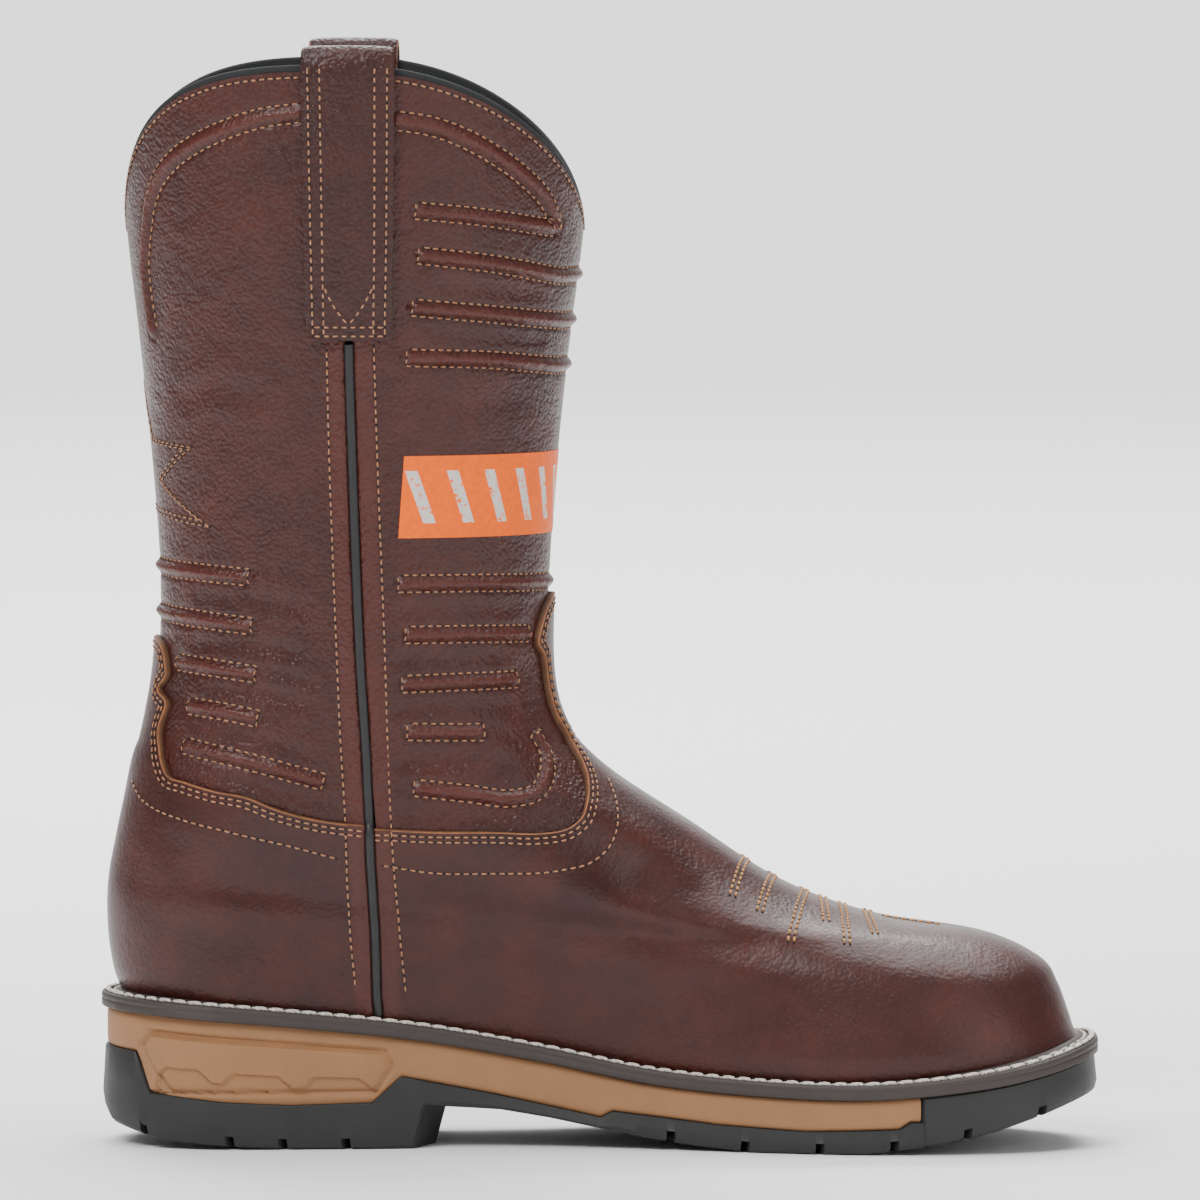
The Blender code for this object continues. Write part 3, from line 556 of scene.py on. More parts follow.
def form(angle, v):
    """Outer face of the upper's wall: angle around from the back, ring number v."""
    back, front = limits(v)
    seat = np.clip(1.0 - v, 0.0, 1.0)
    t = (1 - np.cos(angle)) / 2
    side = np.where(np.sin(angle) < 0, -1.0, 1.0)
    x = back + (front - back) * t
    s = x / LENGTH
    swelling = 1.0 + (SWELL_WIDTH - 1.0) * (1 - seat)
    sole = (sole_half(t) - FEATHER) * swelling
    plain = ring_value("width", v) * ANKLE_WIDTH / 2
    plain = plain + ring_value("flare", v) * (CALF_WIDTH - ANKLE_WIDTH) / 2
    like = ring_value("sole_like", v)
    half = like * sole + (1 - like) * plain
    rounding = round_end(t, ring_value("back_round", v), HEEL_POWER)
    rounding = rounding * round_end(1 - t, ring_value("front_round", v),
                                    ring_value("front_power", v))
    middle = sole_middle(t * seat + s * (1 - seat)) * ring_value("bend", v)
    y = middle + side * half * rounding
    low = level_height(ring_value("back_level", v), HEEL_HEIGHT)
    high = level_height(ring_value("front_level", v), TOE_HEIGHT)
    seat_line = welt_top(t) + SEAT_GAP
    chord = welt_top(0.0) + SEAT_GAP + (welt_top(1.0) - welt_top(0.0)) * t
    z = low + (high - low) * t + ring_value("lie", v) * (seat_line - chord)
    z = z * (1 - seat) + seat_line * seat
    return np.stack([x - HEEL_REST, y, z], axis=-1)


def shell(angle, v, offset):
    """Point at a distance from the form, outwards along its normal."""
    step = 0.004
    around = form(angle + step, v) - form(angle - step, v)
    up = form(angle, np.minimum(v + 0.03, TOP_RING)) - form(angle, np.maximum(v - 0.03, 0.0))
    normal = np.cross(up, around)
    normal /= np.linalg.norm(normal, axis=-1, keepdims=True)
    flat = np.clip(1.0 - v, 0.0, 1.0)[..., None]
    level = normal * (1.0, 1.0, 0.0)
    level /= np.linalg.norm(level, axis=-1, keepdims=True)
    way = normal * (1 - flat) + level * flat
    return form(angle, v) + way * offset


def turn(q, side, v):
    """Angle around ring v for a place q: 0 at the back, 1 at the side seam, 2 in front."""
    seam = seam_angle(v)
    angle = np.where(q <= 1.0, q * seam, seam + (q - 1.0) * (math.pi - seam))
    return side * angle


# Places and paths on the boot

def halved(angle_of, height):
    """Ring number where form(angle_of(v), v) reaches a height: its span is halved 24 times."""
    low, high = np.zeros_like(height), np.full_like(height, float(TOP_RING))
    for _ in range(24):
        middle = (low + high) / 2
        above = form(angle_of(middle), middle)[..., 2] > height
        low, high = np.where(above, low, middle), np.where(above, middle, high)
    return (low + high) / 2


def place(points):
    """Angle and ring number of side-view points, given as length and height in mm."""
    x, z = points[:, 0] * MM + HEEL_REST, points[:, 1] * MM

    def angle_of(v):
        back, front = limits(v)
        return np.arccos(np.clip(1 - 2 * (x - back) / (front - back), -1.0, 1.0))

    v = halved(angle_of, z)
    return angle_of(v), v


def lengths(points):
    """Length along a broken line, from its start to each of its points."""
    return np.concatenate([[0.0], np.cumsum(np.linalg.norm(np.diff(points, axis=0), axis=1))])


def smooth(points, step):
    """Smooth curve through points, read at equal steps of the length of its chords."""
    points = np.array(points, float)
    knots = lengths(points)
    places = np.linspace(0.0, knots[-1], max(int(knots[-1] / step), 2) + 1)
    return np.stack([curve(knots, column_of, places) for column_of in points.T], axis=1)


def side_path(points, side=-1.0, step=1.5):
    """Angles and ring numbers along a smooth line of side-view points."""
    angle, v = place(smooth(points, step))
    return np.stack([side * angle, v], axis=1)


def carried_round(path, centre, count):
    """A path of the inner side, carried round a middle line to its mirror on the other side."""
    start, end = path[-1]
    across = np.linspace(start, 2 * centre - start, count)[1:-1]
    middle = np.stack([across, np.full_like(across, end)], axis=1)
    return np.concatenate([path, middle, path[::-1] * (-1.0, 1.0) + (2 * centre, 0.0)])


def path_at(angle_of, height, side=1.0):
    """Angles and ring numbers of a path that has the heights."""
    v = halved(angle_of, height)
    return np.stack([side * angle_of(v), v], axis=1)


def both_sides(path):
    """The path and its mirror on the other side."""
    return [path, path * (-1.0, 1.0)]


def normals(angle, v):
    """Outward directions of the form at angles and ring numbers."""
    return shell(angle, v, 1.0) - form(angle, v)


def line_distance(points, line):
    """Distance from each point to a broken line, the least over all of its pieces."""
    far = np.full(len(points), 1.0)
    near = np.all((points > line.min(0) - LINE_REACH) & (points < line.max(0) + LINE_REACH), axis=1)
    chosen = points[near]
    least = far[near]
    for start, stop in zip(line[:-1], line[1:]):
        way = stop - start
        share = np.clip((chosen - start) @ way / (way @ way), 0.0, 1.0)
        apart = chosen - start - share[:, None] * way
        least = np.minimum(least, np.sqrt(np.einsum("ij,ij->i", apart, apart)))
    far[near] = least
    return far


def padded_height(points, lines, half, rise, groove):
    """Round ridge, rise * cos of the distance, with a groove along its stitches outside."""
    least = np.full(len(points), 1.0)
    for line in lines:
        least = np.minimum(least, line_distance(points, line))
    ridge = rise * np.cos(np.clip(least / half, 0.0, 1.0) * math.pi / 2) ** RIDGE_POWER
    trough = groove * np.exp(-((least - half - STITCH_BESIDE) / GROOVE_HALF) ** 2)
    return ridge - trough


def crease_height(points, creases, side_lines):
    """Soft trough with a low ridge beside it: both are bells of the distance to a line."""
    height = np.zeros(len(points))
    for (line, depth, half), paths in zip(creases, side_lines):
        for path in paths:
            apart = line_distance(points, path)
            height -= depth * MM * np.exp(-(apart / (half * MM)) ** 2)
            height += depth * MM * 0.5 * np.exp(-((apart / (half * MM) - 2.0) / RIM_WIDE) ** 2)
    return height


def seam_apart(points, seams):
    """Distance from points to the nearer side seam."""
    return np.minimum(*(line_distance(points, line) for line in seams))


def warmth(points, seams):
    """1 between the stitch rows of a side seam, falling to 0 outside them."""
    return np.clip((SEAM_WARM - seam_apart(points, seams)) / SEAM_FADE, 0.0, 1.0)


def fold_height(apart):
    """Folded edge beside a seam: a bell of the distance, which drops into the seam."""
    fold = FOLD_RISE * np.exp(-((apart - FOLD_AT) / FOLD_HALF) ** 2)
    return fold - FOLD_DROP * np.clip(1.0 - apart / FOLD_EDGE, 0.0, 1.0) ** 2


class Relief:
    """Padded lines, stitch rows and creases of the leather, as lines in space."""

    def __init__(self, settings):
        self.settings = settings
        cords = both_sides(side_path(FRONT_CORD)) + both_sides(side_path(BACK_CORD))
        bars = [carried_round(side_path(points), -math.pi, 24) for points in FRONT_BARS]
        bars += [carried_round(side_path(points), 0.0, 12) for points in BACK_BARS]
        for points in SHORT_BARS:
            bars += both_sides(side_path(points))
        self.cords, self.bars = cords, bars
        self.cord_lines, self.bar_lines = (
            [form(*path.T) for path in paths] for paths in (cords, bars))
        v = np.linspace(0.0, TOP_RING - 0.5, 120)
        seams = [turn(np.ones_like(v), side, v) for side in (1.0, -1.0)]
        self.seams = [form(angle, v) for angle in seams]
        self.foot_seams = [shell(angle, v, np.array(LAYER)) for angle in seams]
        self.creases = [self.lines(points) for points, *_ in CREASES]
        self.foot_creases = [self.lines(points) for points, *_ in FOOT_CREASES]

    def lines(self, points):
        """The form's points along a side-view line, on both sides."""
        return [form(*path.T) for path in both_sides(side_path(points))]

    def shaft(self, points):
        """Height of the shaft's leather over the form."""
        s = self.settings
        height = padded_height(points, self.cord_lines, s.cord_width / 2, s.cord_rise, s.groove)
        height += padded_height(points, self.bar_lines, s.bar_width / 2, s.bar_rise, s.groove)
        height += crease_height(points, CREASES, self.creases)
        return height + fold_height(seam_apart(points, self.seams))

    def foot(self, points):
        """Height of the vamp's and the counter's leather over its plain face."""
        return crease_height(points, FOOT_CREASES, self.foot_creases) + fold_height(
            seam_apart(points, self.foot_seams))


# Meshes

def quads(index):
    """Quads between the neighbours of a grid of point numbers."""
    corners = [index[:-1, :-1], index[:-1, 1:], index[1:, 1:], index[1:, :-1]]
    return np.stack(corners, axis=-1).reshape(-1, 4)


def grid_faces(rows, columns, looped=False):
    """Quads of a grid stored row by row; a looped one joins its last column to its first."""
    index = np.arange(rows * columns).reshape(rows, columns)
    return quads(np.concatenate([index, index[:, :1]], axis=1) if looped else index)


def mesh_piece(name, points, faces, material, inward=False, sharp=40.0, values=None):
    """A new object from whole arrays of points and of quads or triangles."""
    points = np.asarray(points, float).reshape(-1, 3)
    faces = faces[:, ::-1] if inward else faces
    mesh = bpy.data.meshes.new(name)
    mesh.vertices.add(len(points))
    mesh.vertices.foreach_set("co", points.astype(np.float32).ravel())
    mesh.loops.add(faces.size)
    mesh.loops.foreach_set("vertex_index", faces.astype(np.int32).ravel())
    mesh.polygons.add(len(faces))
    starts = np.arange(len(faces)) * faces.shape[1]
    mesh.polygons.foreach_set("loop_start", starts.astype(np.int32))
    mesh.update(calc_edges=True)
    mesh.validate()
    if values is not None:
        layer = mesh.attributes.new("rise", "FLOAT", "POINT")
        layer.data.foreach_set("value", values.astype(np.float32).ravel())
    obj = bpy.data.objects.new(name, mesh)
    obj.data.materials.append(material)
    bpy.context.scene.collection.objects.link(obj)
    mesh.shade_smooth()
    mesh.set_sharp_from_angle(angle=math.radians(sharp))
    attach(obj, "root")
    return obj


def hemmed(grid, depth):
    """The grid with one more row and column all round, turned inwards by the depth."""
    angle, v, offset = (np.pad(layer, 1, mode="edge") for layer in grid)
    for edge in (np.s_[0, :], np.s_[-1, :], np.s_[:, 0], np.s_[:, -1]):
        offset[edge] -= depth
    return angle, v, offset


def frame_of(line, ways):
    """Tangent, side and normal along a line, the side being normal times tangent."""
    tangent = np.gradient(line, axis=0)
    tangent /= np.linalg.norm(tangent, axis=1, keepdims=True)
    side = np.cross(ways, tangent)
    side /= np.linalg.norm(side, axis=1, keepdims=True)
    return tangent, side, np.cross(tangent, side)


def tube(name, line, ways, profile, material):
    """A closed profile of (across, up) carried along a line, with a pole at each end."""
    side, up = frame_of(line, ways)[1:]
    across, high = np.array(profile).T
    rings = line[:, None] + side[:, None] * across[:, None] + up[:, None] * high[:, None]
    start = np.repeat(rings[0].mean(0)[None, None], len(across), axis=1)
    stop = np.repeat(rings[-1].mean(0)[None, None], len(across), axis=1)
    grid = np.concatenate([start, rings, stop])
    return mesh_piece(name, grid, closed(grid), material)


def outward(points, faces):
    """The faces of a closed mesh, turned over if their signed volume is below zero."""
    a, b, c, d = (points[faces[:, k]] for k in range(4))
    volume = np.einsum("ij,ij->", a, np.cross(b, c)) + np.einsum("ij,ij->", a, np.cross(c, d))
    return faces if volume > 0 else faces[:, ::-1]


def closed(grid):
    """Quads of a grid whose last column joins its first, all facing outwards."""
    return outward(grid.reshape(-1, 3), grid_faces(*grid.shape[:2], looped=True))


def circle(radius, count=12):
    """Profile of a round cord."""
    turned = np.linspace(0.0, 2 * math.pi, count, endpoint=False)
    return np.stack([radius * np.cos(turned), radius * np.sin(turned)], axis=1)


def resampled(line, ways, pitch, first=0.5):
    """Points and directions along a line, a pitch apart, the first a share of it in."""
    knots = lengths(line)
    count = max(int(round(knots[-1] / pitch)), 1)
    places = (np.arange(count) + first) * knots[-1] / count
    step = knots[-1] / count * 0.25
    read_at = lambda values, at: np.stack([np.interp(at, knots, row) for row in values.T], axis=1)
    tangent = read_at(line, places + step) - read_at(line, places - step)
    tangent /= np.linalg.norm(tangent, axis=1, keepdims=True)
    way = read_at(ways, places)
    way /= np.linalg.norm(way, axis=1, keepdims=True)
    return read_at(line, places), tangent, way


def stitch_shape():
    """One stitch lying along x: three rings of five points and a point at each end."""
    turned = np.linspace(0.0, 2 * math.pi, 5, endpoint=False) + 0.3
    rings = [
        np.stack([np.full(5, along), wide * np.cos(turned), wide * np.sin(turned)], axis=1)
        for along, wide in ((-0.62, 0.8), (0.0, 1.0), (0.62, 0.8))
    ]
    points = np.concatenate([[(-1.0, 0.0, -0.5)], *rings, [(1.0, 0.0, -0.5)]])
    faces = []
    for j in range(5):
        k = (j + 1) % 5
        faces.append((0, 1 + k, 1 + j, 1 + j))
        faces += [(1 + r + j, 1 + r + k, 6 + r + k, 6 + r + j) for r in (0, 5)]
        faces.append((11 + j, 11 + k, 16, 16))
    triangles = []
    for a, b, c, d in faces:
        triangles.append((a, b, c))
        if d not in (a, b, c):
            triangles.append((a, c, d))
    return points, np.array(triangles)


def hole_shape():
    """One needle hole: a flat lens of six points round two poles, coloured dark as painted shade.
    """
    turned = np.linspace(0.0, 2 * math.pi, 6, endpoint=False)
    ring = np.stack([np.cos(turned), np.sin(turned), 0 * turned], axis=1)
    k = np.arange(6)
    top = np.stack([k, (k + 1) % 6, np.full(6, 6)], axis=1)
    under = np.stack([(k + 1) % 6, k, np.full(6, 7)], axis=1)
    return np.concatenate([ring, [(0, 0, 1), (0, 0, -1)]]), np.concatenate([top, under])


def sewn(name, rows, settings, width, thread, finish):
    """Stitches of some rows, and between them dark lenses that paint the shade of the needle holes.
    """
    stitches(name, rows, settings.stitch, width, width, settings.stitch_pitch, thread)
    hole = settings.stitch_hole
    stitches(name.replace("stitches", "holes"), rows, hole, hole, hole * 0.5,
             settings.stitch_pitch, finish["needle hole"], hole_shape(), 0.0)


def stitches(name, rows, length, width, height, pitch, material, form_of=None, first=0.5):
    """Every stitch of some rows: the shape scaled along, across and up at each place."""
    shape, triangles = form_of or stitch_shape()
    centres, alongs, ways = (np.concatenate(part) for part in zip(
        *(resampled(line, way, pitch, first) for line, way in rows)))
    sides = np.cross(ways, alongs)
    points = (
        centres[:, None]
        + alongs[:, None] * shape[:, :1] * length / 2
        + sides[:, None] * shape[:, 1:2] * width / 2
        + ways[:, None] * shape[:, 2:] * height / 2
    )
    first = np.arange(len(centres))[:, None, None] * len(shape)
    faces = (triangles[None] + first).reshape(-1, 3)
    return mesh_piece(name, points, faces, material, sharp=80.0)


def row_on(path, offset, aside=0.0, relief=None, base=0.0):
    """Points and normals of a stitch row on the leather, moved aside from its path."""
    line, ways = form(*path.T), normals(*path.T)
    line = line + frame_of(line, ways)[1] * aside
    height = relief(line) if relief is not None else 0.0
    return line + ways * (np.reshape(height, (-1, 1)) + base + offset), ways


def outline_on(path, offset, around, relief):
    """Stitch row all round a padded line, at a distance, with square ends."""
    line, ways = form(*path.T), normals(*path.T)
    tangent, side = frame_of(line, ways)[:2]
    across = np.linspace(around, -around, 7)[:, None]
    far = line[-1] + tangent[-1] * BAR_END + side[-1] * across
    near = line[0] - tangent[0] * BAR_END - side[0] * across
    loop = [line + side * around, far, (line - side * around)[::-1], near]
    loop_ways = [ways, np.repeat(ways[-1:], 7, 0), ways[::-1], np.repeat(ways[:1], 7, 0)]
    loop, loop_ways = np.concatenate(loop), np.concatenate(loop_ways)
    return loop + loop_ways * (relief(loop)[:, None] + offset), loop_ways


# Materials

class Look:
    """A material with its shader, and a short method for each kind of node."""

    def __init__(self, name):
        self.material = bpy.data.materials.new(name)
        self.material.use_nodes = True
        self.tree = self.material.node_tree
        self.where = self.tree.nodes.new("ShaderNodeTexCoord").outputs["Object"]
        self.surface = None

    def fill(self, node, sockets):
        """Values or links for a node's sockets, given by name or number."""
        for key, value in sockets.items():
            if isinstance(value, bpy.types.NodeSocket):
                self.tree.links.new(value, node.inputs[key])
            elif value is not None:
                node.inputs[key].default_value = value

    def add(self, kind, sockets, output=0, **settings):
        """One output of a new node with the settings and sockets."""
        node = self.tree.nodes.new("ShaderNode" + kind)
        for name, value in settings.items():
            setattr(node, name, value)
        self.fill(node, sockets)
        return node.outputs[output]

    def ramp(self, value, start=0.0, stop=1.0, low=0.0, high=1.0):
        """Goes from low to high as the value goes from start to stop."""
        return self.add("MapRange", dict(enumerate((value, start, stop, low, high))))

    def sum(self, kind, *values):
        """Result of one sum on one to three values."""
        return self.add("Math", dict(enumerate(values)), operation=kind)

    def mix(self, share, low, high):
        """Colour between two colours, which are arrays or sockets."""
        pair = [(*tone, 1.0) if isinstance(tone, np.ndarray) else tone for tone in (low, high)]
        return self.add("Mix", {0: share, 6: pair[0], 7: pair[1]}, 2, data_type="RGBA")

    def noise(self, scale, detail=4.0, rough=0.55):
        """Cloudy noise over the object."""
        sockets = {"Vector": self.where, "Scale": scale, "Detail": detail, "Roughness": rough}
        return self.add("TexNoise", sockets, "Fac")

    def rise(self):
        """Value that a mesh carries: above 0 on ridges, below 0 in creases; leather paints its
        highlight and shade from it.
        """
        return self.add("Attribute", {}, "Fac", attribute_name="rise")

    def bump(self, height, distance, strength):
        """One more relief over those added before it."""
        self.surface = self.add("Bump", {
            "Height": height, "Distance": distance, "Strength": strength, "Normal": self.surface,
        }, "Normal")

    def made(self, colour, rough, **sockets):
        """The finished material: other sockets have _ for each space of their names."""
        values = {name.replace("_", " "): value for name, value in sockets.items()}
        self.fill(self.tree.nodes["Principled BSDF"], {
            "Base Color": colour, "Roughness": rough, "Normal": self.surface, **values,
        })
        return self.material


def make_leather(name, settings, tone, red, grain, gloss):
    """Oiled leather: cloudy tone, pebble grain from cells, fine pores, a painted highlight on
    ridges and painted shade in creases.
    """
    look = Look(name)
    cloud, mottle = look.noise(16.0, 5.0, 0.6), look.noise(70.0, 5.0, 0.65)
    colour = look.mix(look.ramp(cloud, 0.32, 0.68), tone * 0.72, tone * 1.18)
    colour = look.mix(look.ramp(mottle, 0.42, 0.75, 0.0, 0.55), colour, red)
    rise = look.rise()
    # Painted highlight: ridges are lighter and redder; between the seam rows the same mix gives the
    # seam leather its own redder tone.
    colour = look.mix(look.ramp(rise, 0.1, 1.0, 0.0, 0.55), colour, red * 1.15)
    # Painted shade: creases, stitch grooves and the drop beside the seams are darker.
    colour = look.mix(look.ramp(rise, -0.05, -0.5, 0.0, 0.6), colour, tone * 0.35)
    pebble = look.add("TexVoronoi", {
        "Vector": look.where, "Scale": 1.0 / settings.grain_size, "Randomness": 1.0,
    }, "Distance", feature="SMOOTH_F1")
    colour = look.mix(look.ramp(pebble, 0.25, 0.75, 0.0, 0.30), colour, tone * 0.4)
    look.bump(cloud, 0.0030, 0.5 * grain)
    look.bump(look.noise(210.0, 3.0, 0.5), 0.0014, 0.5 * grain)
    look.bump(pebble, -0.0006, 0.7 * grain)
    look.bump(look.noise(1400.0, 2.0, 0.5), 0.00012, 0.5 * grain)
    rough = look.ramp(cloud, 0.3, 0.7, gloss - 0.06, gloss + 0.10)
    return look.made(colour, rough, Specular_IOR_Level=0.34, Coat_Weight=0.10,
                     Coat_Roughness=0.34)


def make_plain(name, colour, rough, spread=0.25, scale=120.0, depth=0.0002, fine=900.0):
    """Matt material: its colour spreads with a noise, darker where the mesh's value rises."""
    look = Look(name)
    cloud = look.noise(scale, 5.0, 0.6)
    tone = look.mix(look.ramp(cloud, 0.3, 0.7), colour * (1 - spread), colour * (1 + spread))
    tone = look.mix(look.ramp(look.rise()), tone, colour * 0.12)
    look.bump(look.noise(fine, 3.0), depth, 0.5)
    look.bump(cloud, depth * 3, 0.3)
    return look.made(tone, look.ramp(cloud, 0.3, 0.7, rough - 0.05, rough + 0.07))


def make_thread(name, colour):
    """Twisted thread: fine slanted waves darken and lift it."""
    look = Look(name)
    twist = look.add("TexWave", {
        "Vector": look.where, "Scale": 420.0, "Distortion": 2.0, "Detail": 1.0,
    }, "Fac", bands_direction="DIAGONAL")
    look.bump(twist, 0.0002, 0.6)
    tone = look.mix(look.ramp(twist), colour * 0.62, colour * 1.1)
    return look.made(tone, 0.62, Sheen_Weight=0.15)


def make_film(name, settings):
    """Printed film, cracked like its leather: cells cut it, and slanted bars are pale."""
    look = Look(name)
    ink = settings.print_colour
    flat = look.add("UVMap", {}, uv_map="print")
    along, up = look.add("SeparateXYZ", {0: flat}).node.outputs[:2]
    lean = look.sum("MULTIPLY_ADD", up, BAR_LEAN, along)
    part = look.sum("FRACT", look.sum("MULTIPLY_ADD", lean, BAR_COUNT, BAR_START))
    bar = look.sum("COMPARE", part, 0.5, BAR_SHARE)
    bar = look.sum("MULTIPLY", bar, look.sum("COMPARE", up, 0.5, BAR_TALL))
    worn = look.noise(420.0, 6.0, 0.7)
    bar = look.sum("MULTIPLY", bar, look.sum("LESS_THAN", worn, 0.58))
    colour = look.mix(look.ramp(worn, 0.3, 0.7), ink * 0.86, np.minimum(ink * 1.08, 1.0))
    colour = look.mix(bar, colour, settings.print_pale)
    cells = look.add("TexVoronoi", {"Vector": look.where, "Scale": 420.0}, "Distance",
                     feature="DISTANCE_TO_EDGE")
    crack = look.ramp(cells, 0.0, 0.05, 0.22, 0.0)
    colour = look.mix(crack, colour, ink * 0.45)
    look.bump(worn, 0.0006, 0.5)
    look.bump(crack, -0.0002, 0.6)
    return look.made(colour, 0.48, Specular_IOR_Level=0.2)


def finishes(settings):
    """The boot's materials by name, each made once."""
    tone, red = settings.leather, settings.leather_red
    ways = {
        "shaft leather": (make_leather, settings, tone, red, 1.0, 0.38),
        "foot leather": (make_leather, settings, tone * 0.95, red * 0.95, 0.36, 0.38),
        "strap leather": (make_leather, settings, tone * 0.8, red * 0.8, 1.1, 0.40),
        "raw edge": (make_plain, settings.raw_edge, 0.75, 0.35, 260.0, 0.0003),
        "thread": (make_thread, settings.thread),
        "toe thread": (make_thread, settings.toe_thread),
        "welt thread": (make_thread, settings.welt_thread),
        # Painted shade: the needle holes are dark lenses in a fifth of the leather's tone.
        "needle hole": (make_plain, tone * 0.2, 0.8),
        "black piping": (make_plain, settings.piping, 0.42, 0.2, 200.0, 0.0001),
        "lining cloth": (make_plain, settings.lining, 0.9, 0.2, 300.0, 0.0003),
        "printed film": (make_film, settings),
        "welt rubber": (make_plain, settings.welt, 0.6, 0.15, 140.0),
        "midsole foam": (make_plain, settings.midsole, 0.62, 0.08, 60.0),
        "outsole rubber": (make_plain, settings.outsole, 0.55, 0.15, 90.0),
        "insole cloth": (make_plain, settings.lining, 0.9, 0.3, 500.0, 0.0004),
    }
    return {name: bpy.data.materials.get(name) or maker(name, *values)
            for name, (maker, *values) in ways.items()}


# Upper

def collar_height(q):
    """Height of the collar at places q: low at back and front, high at the sides."""
    back = 1 - (1 - np.sin(np.minimum(q, 1.0) * math.pi / 2)) ** SCALLOP_BACK
    front = np.clip(np.sin((2 - np.maximum(q, 1.0)) * math.pi / 2), 0.0, 1.0) ** SCALLOP_FRONT
    return COLLAR_HEIGHT + COLLAR_RISE * np.where(q <= 1.0, back, front)


def rings_between(q, low, high, rows):
    """Angles and ring numbers of columns q, in rows evenly high between two heights."""
    coarse = np.linspace(0.0, 1.0, 33)[:, None]
    column_of = np.broadcast_to(q, (33, len(q)))
    heights = low + (high - low) * coarse
    v = halved(lambda ring: turn(column_of, 1.0, ring), heights)
    rows_at = np.linspace(0.0, 1.0, rows) * 32
    first = np.minimum(rows_at.astype(int), 31)
    part = (rows_at - first)[:, None]
    v = v[first] * (1 - part) + v[first + 1] * part
    return turn(np.broadcast_to(q, v.shape), 1.0, v), v


def make_shaft_panel(name, q, relief, settings, material):
    """Half of the shaft: the form moved out by the relief, its edges turned in."""
    low = np.full(len(q), SHAFT_LOW)
    angle, v = rings_between(np.abs(q), low, collar_height(np.abs(q)) - COLLAR_INSET, SHAFT_ROWS)
    angle = angle * np.where(q < 0, -1.0, 1.0)
    rise = relief.shaft(form(angle, v).reshape(-1, 3)).reshape(v.shape)
    rise *= np.clip((collar_height(np.abs(q)) - form(angle, v)[..., 2]) / COLLAR_FADE, 0.0, 1.0)
    warm = warmth(form(angle, v).reshape(-1, 3), relief.seams).reshape(v.shape)
    # Value for the leather's colour: the relief, which paints a highlight on ridges and shade in
    # creases and stitch grooves, and the seam leather's redder tone between the seam rows.
    value = np.pad(np.maximum(rise / settings.bar_rise, warm * SEAM_TONE), 1, mode="edge")
    angle, v, offset = hemmed((angle, v, rise), HEM)
    points = shell(angle, v, offset[..., None])
    faces = grid_faces(*v.shape)
    return mesh_piece(name, points, faces, material, True, values=value)


def edge_path(line, neck, tongue, centre):
    """Upper edge of a foot panel from the seam to its tip, as angle off the middle and ring.

    The corners become degrees and tenths of a ring, and one smooth curve joins them.
    """
    angle, v = place(np.array(line))
    lower = np.stack([np.degrees(np.abs(centre - angle)), v * 10], axis=1)
    points = np.array(neck + tongue[1:])
    angle = np.abs(centre - np.radians(points[:, 0]))
    rings = halved(lambda ring: angle, points[:, 1] * MM) * 10
    upper = np.stack([points[:, 0], rings], axis=1)
    path = smooth(np.concatenate([lower, upper]), 0.5)
    apart = np.hypot(path[:, 0] - points[len(neck) - 1, 0], path[:, 1] - rings[len(neck) - 1])
    return np.radians(path[:, 0]), path[:, 1] / 10, int(np.argmin(apart))


def seam_reach(v, centre):
    """Angle from a panel's middle line to its edge beside the seam, at ring v."""
    seam = seam_angle(v)
    across = np.linalg.norm(form(seam + 0.01, v) - form(seam, v), axis=-1) / 0.01
    return np.abs(centre - seam) - SEAM_GAP / across


def make_foot_panel(name, edge, centre, relief, material):
    """Vamp or counter. A column keeps its share of the way to the seam up to the edge,
    and the middle columns go on up the tongue, each a share of its half width."""
    apart, v, neck = edge
    share = apart / seam_reach(v, centre)
    half = np.linspace(0.0, share[neck], TONGUE_COLUMNS)
    count = PANEL_COLUMNS if centre > 0 else PANEL_COLUMNS * 3 // 5
    wide = np.linspace(share[neck], 1.0, count)[1:]
    columns = np.concatenate([half, wide])
    top = np.interp(columns, share[:neck + 1][::-1], v[:neck + 1][::-1])
    columns = np.concatenate([-columns[:0:-1], columns])
    top = np.concatenate([top[:0:-1], top])
    ring = top * np.linspace(0.0, 1.0, PANEL_ROWS)[:, None]
    lower = centre + columns * seam_reach(ring, centre)
    inside = np.abs(columns) <= share[neck] + 1e-9
    tongue_ring = np.repeat(v[neck + 1:, None], inside.sum(), axis=1)
    tongue = centre + columns[inside] / share[neck] * apart[neck + 1:, None]
    angle = np.concatenate([lower.ravel(), tongue.ravel()])
    rings = np.concatenate([ring.ravel(), tongue_ring.ravel()])
    plain = shell(angle, rings, np.array(LAYER))
    rise = relief.foot(plain)
    points = shell(angle, rings, (LAYER + rise)[:, None])
    points[:len(columns), 2] -= WELT_SINK
    index = np.arange(ring.size).reshape(ring.shape)
    above = np.arange(tongue.size).reshape(tongue.shape) + ring.size
    faces = np.concatenate([quads(index), quads(np.concatenate([index[-1:, inside], above]))])
    # Value for the leather's colour: creases paint shade, the folds beside the seams a highlight,
    # and between the seam rows the seam leather's redder tone.
    value = np.maximum(rise / CREASE_DEPTH * 0.5, warmth(plain, relief.foot_seams) * SEAM_TONE)
    return mesh_piece(name, points, faces, material, True, values=value)


def edge_ends(edge, centre):
    """The whole upper edge of a foot panel as one path, from seam to seam."""
    way = np.stack(edge[:2], axis=1)
    both = np.concatenate([way, way[-2::-1] * (-1.0, 1.0)])
    return both + (centre, 0.0)


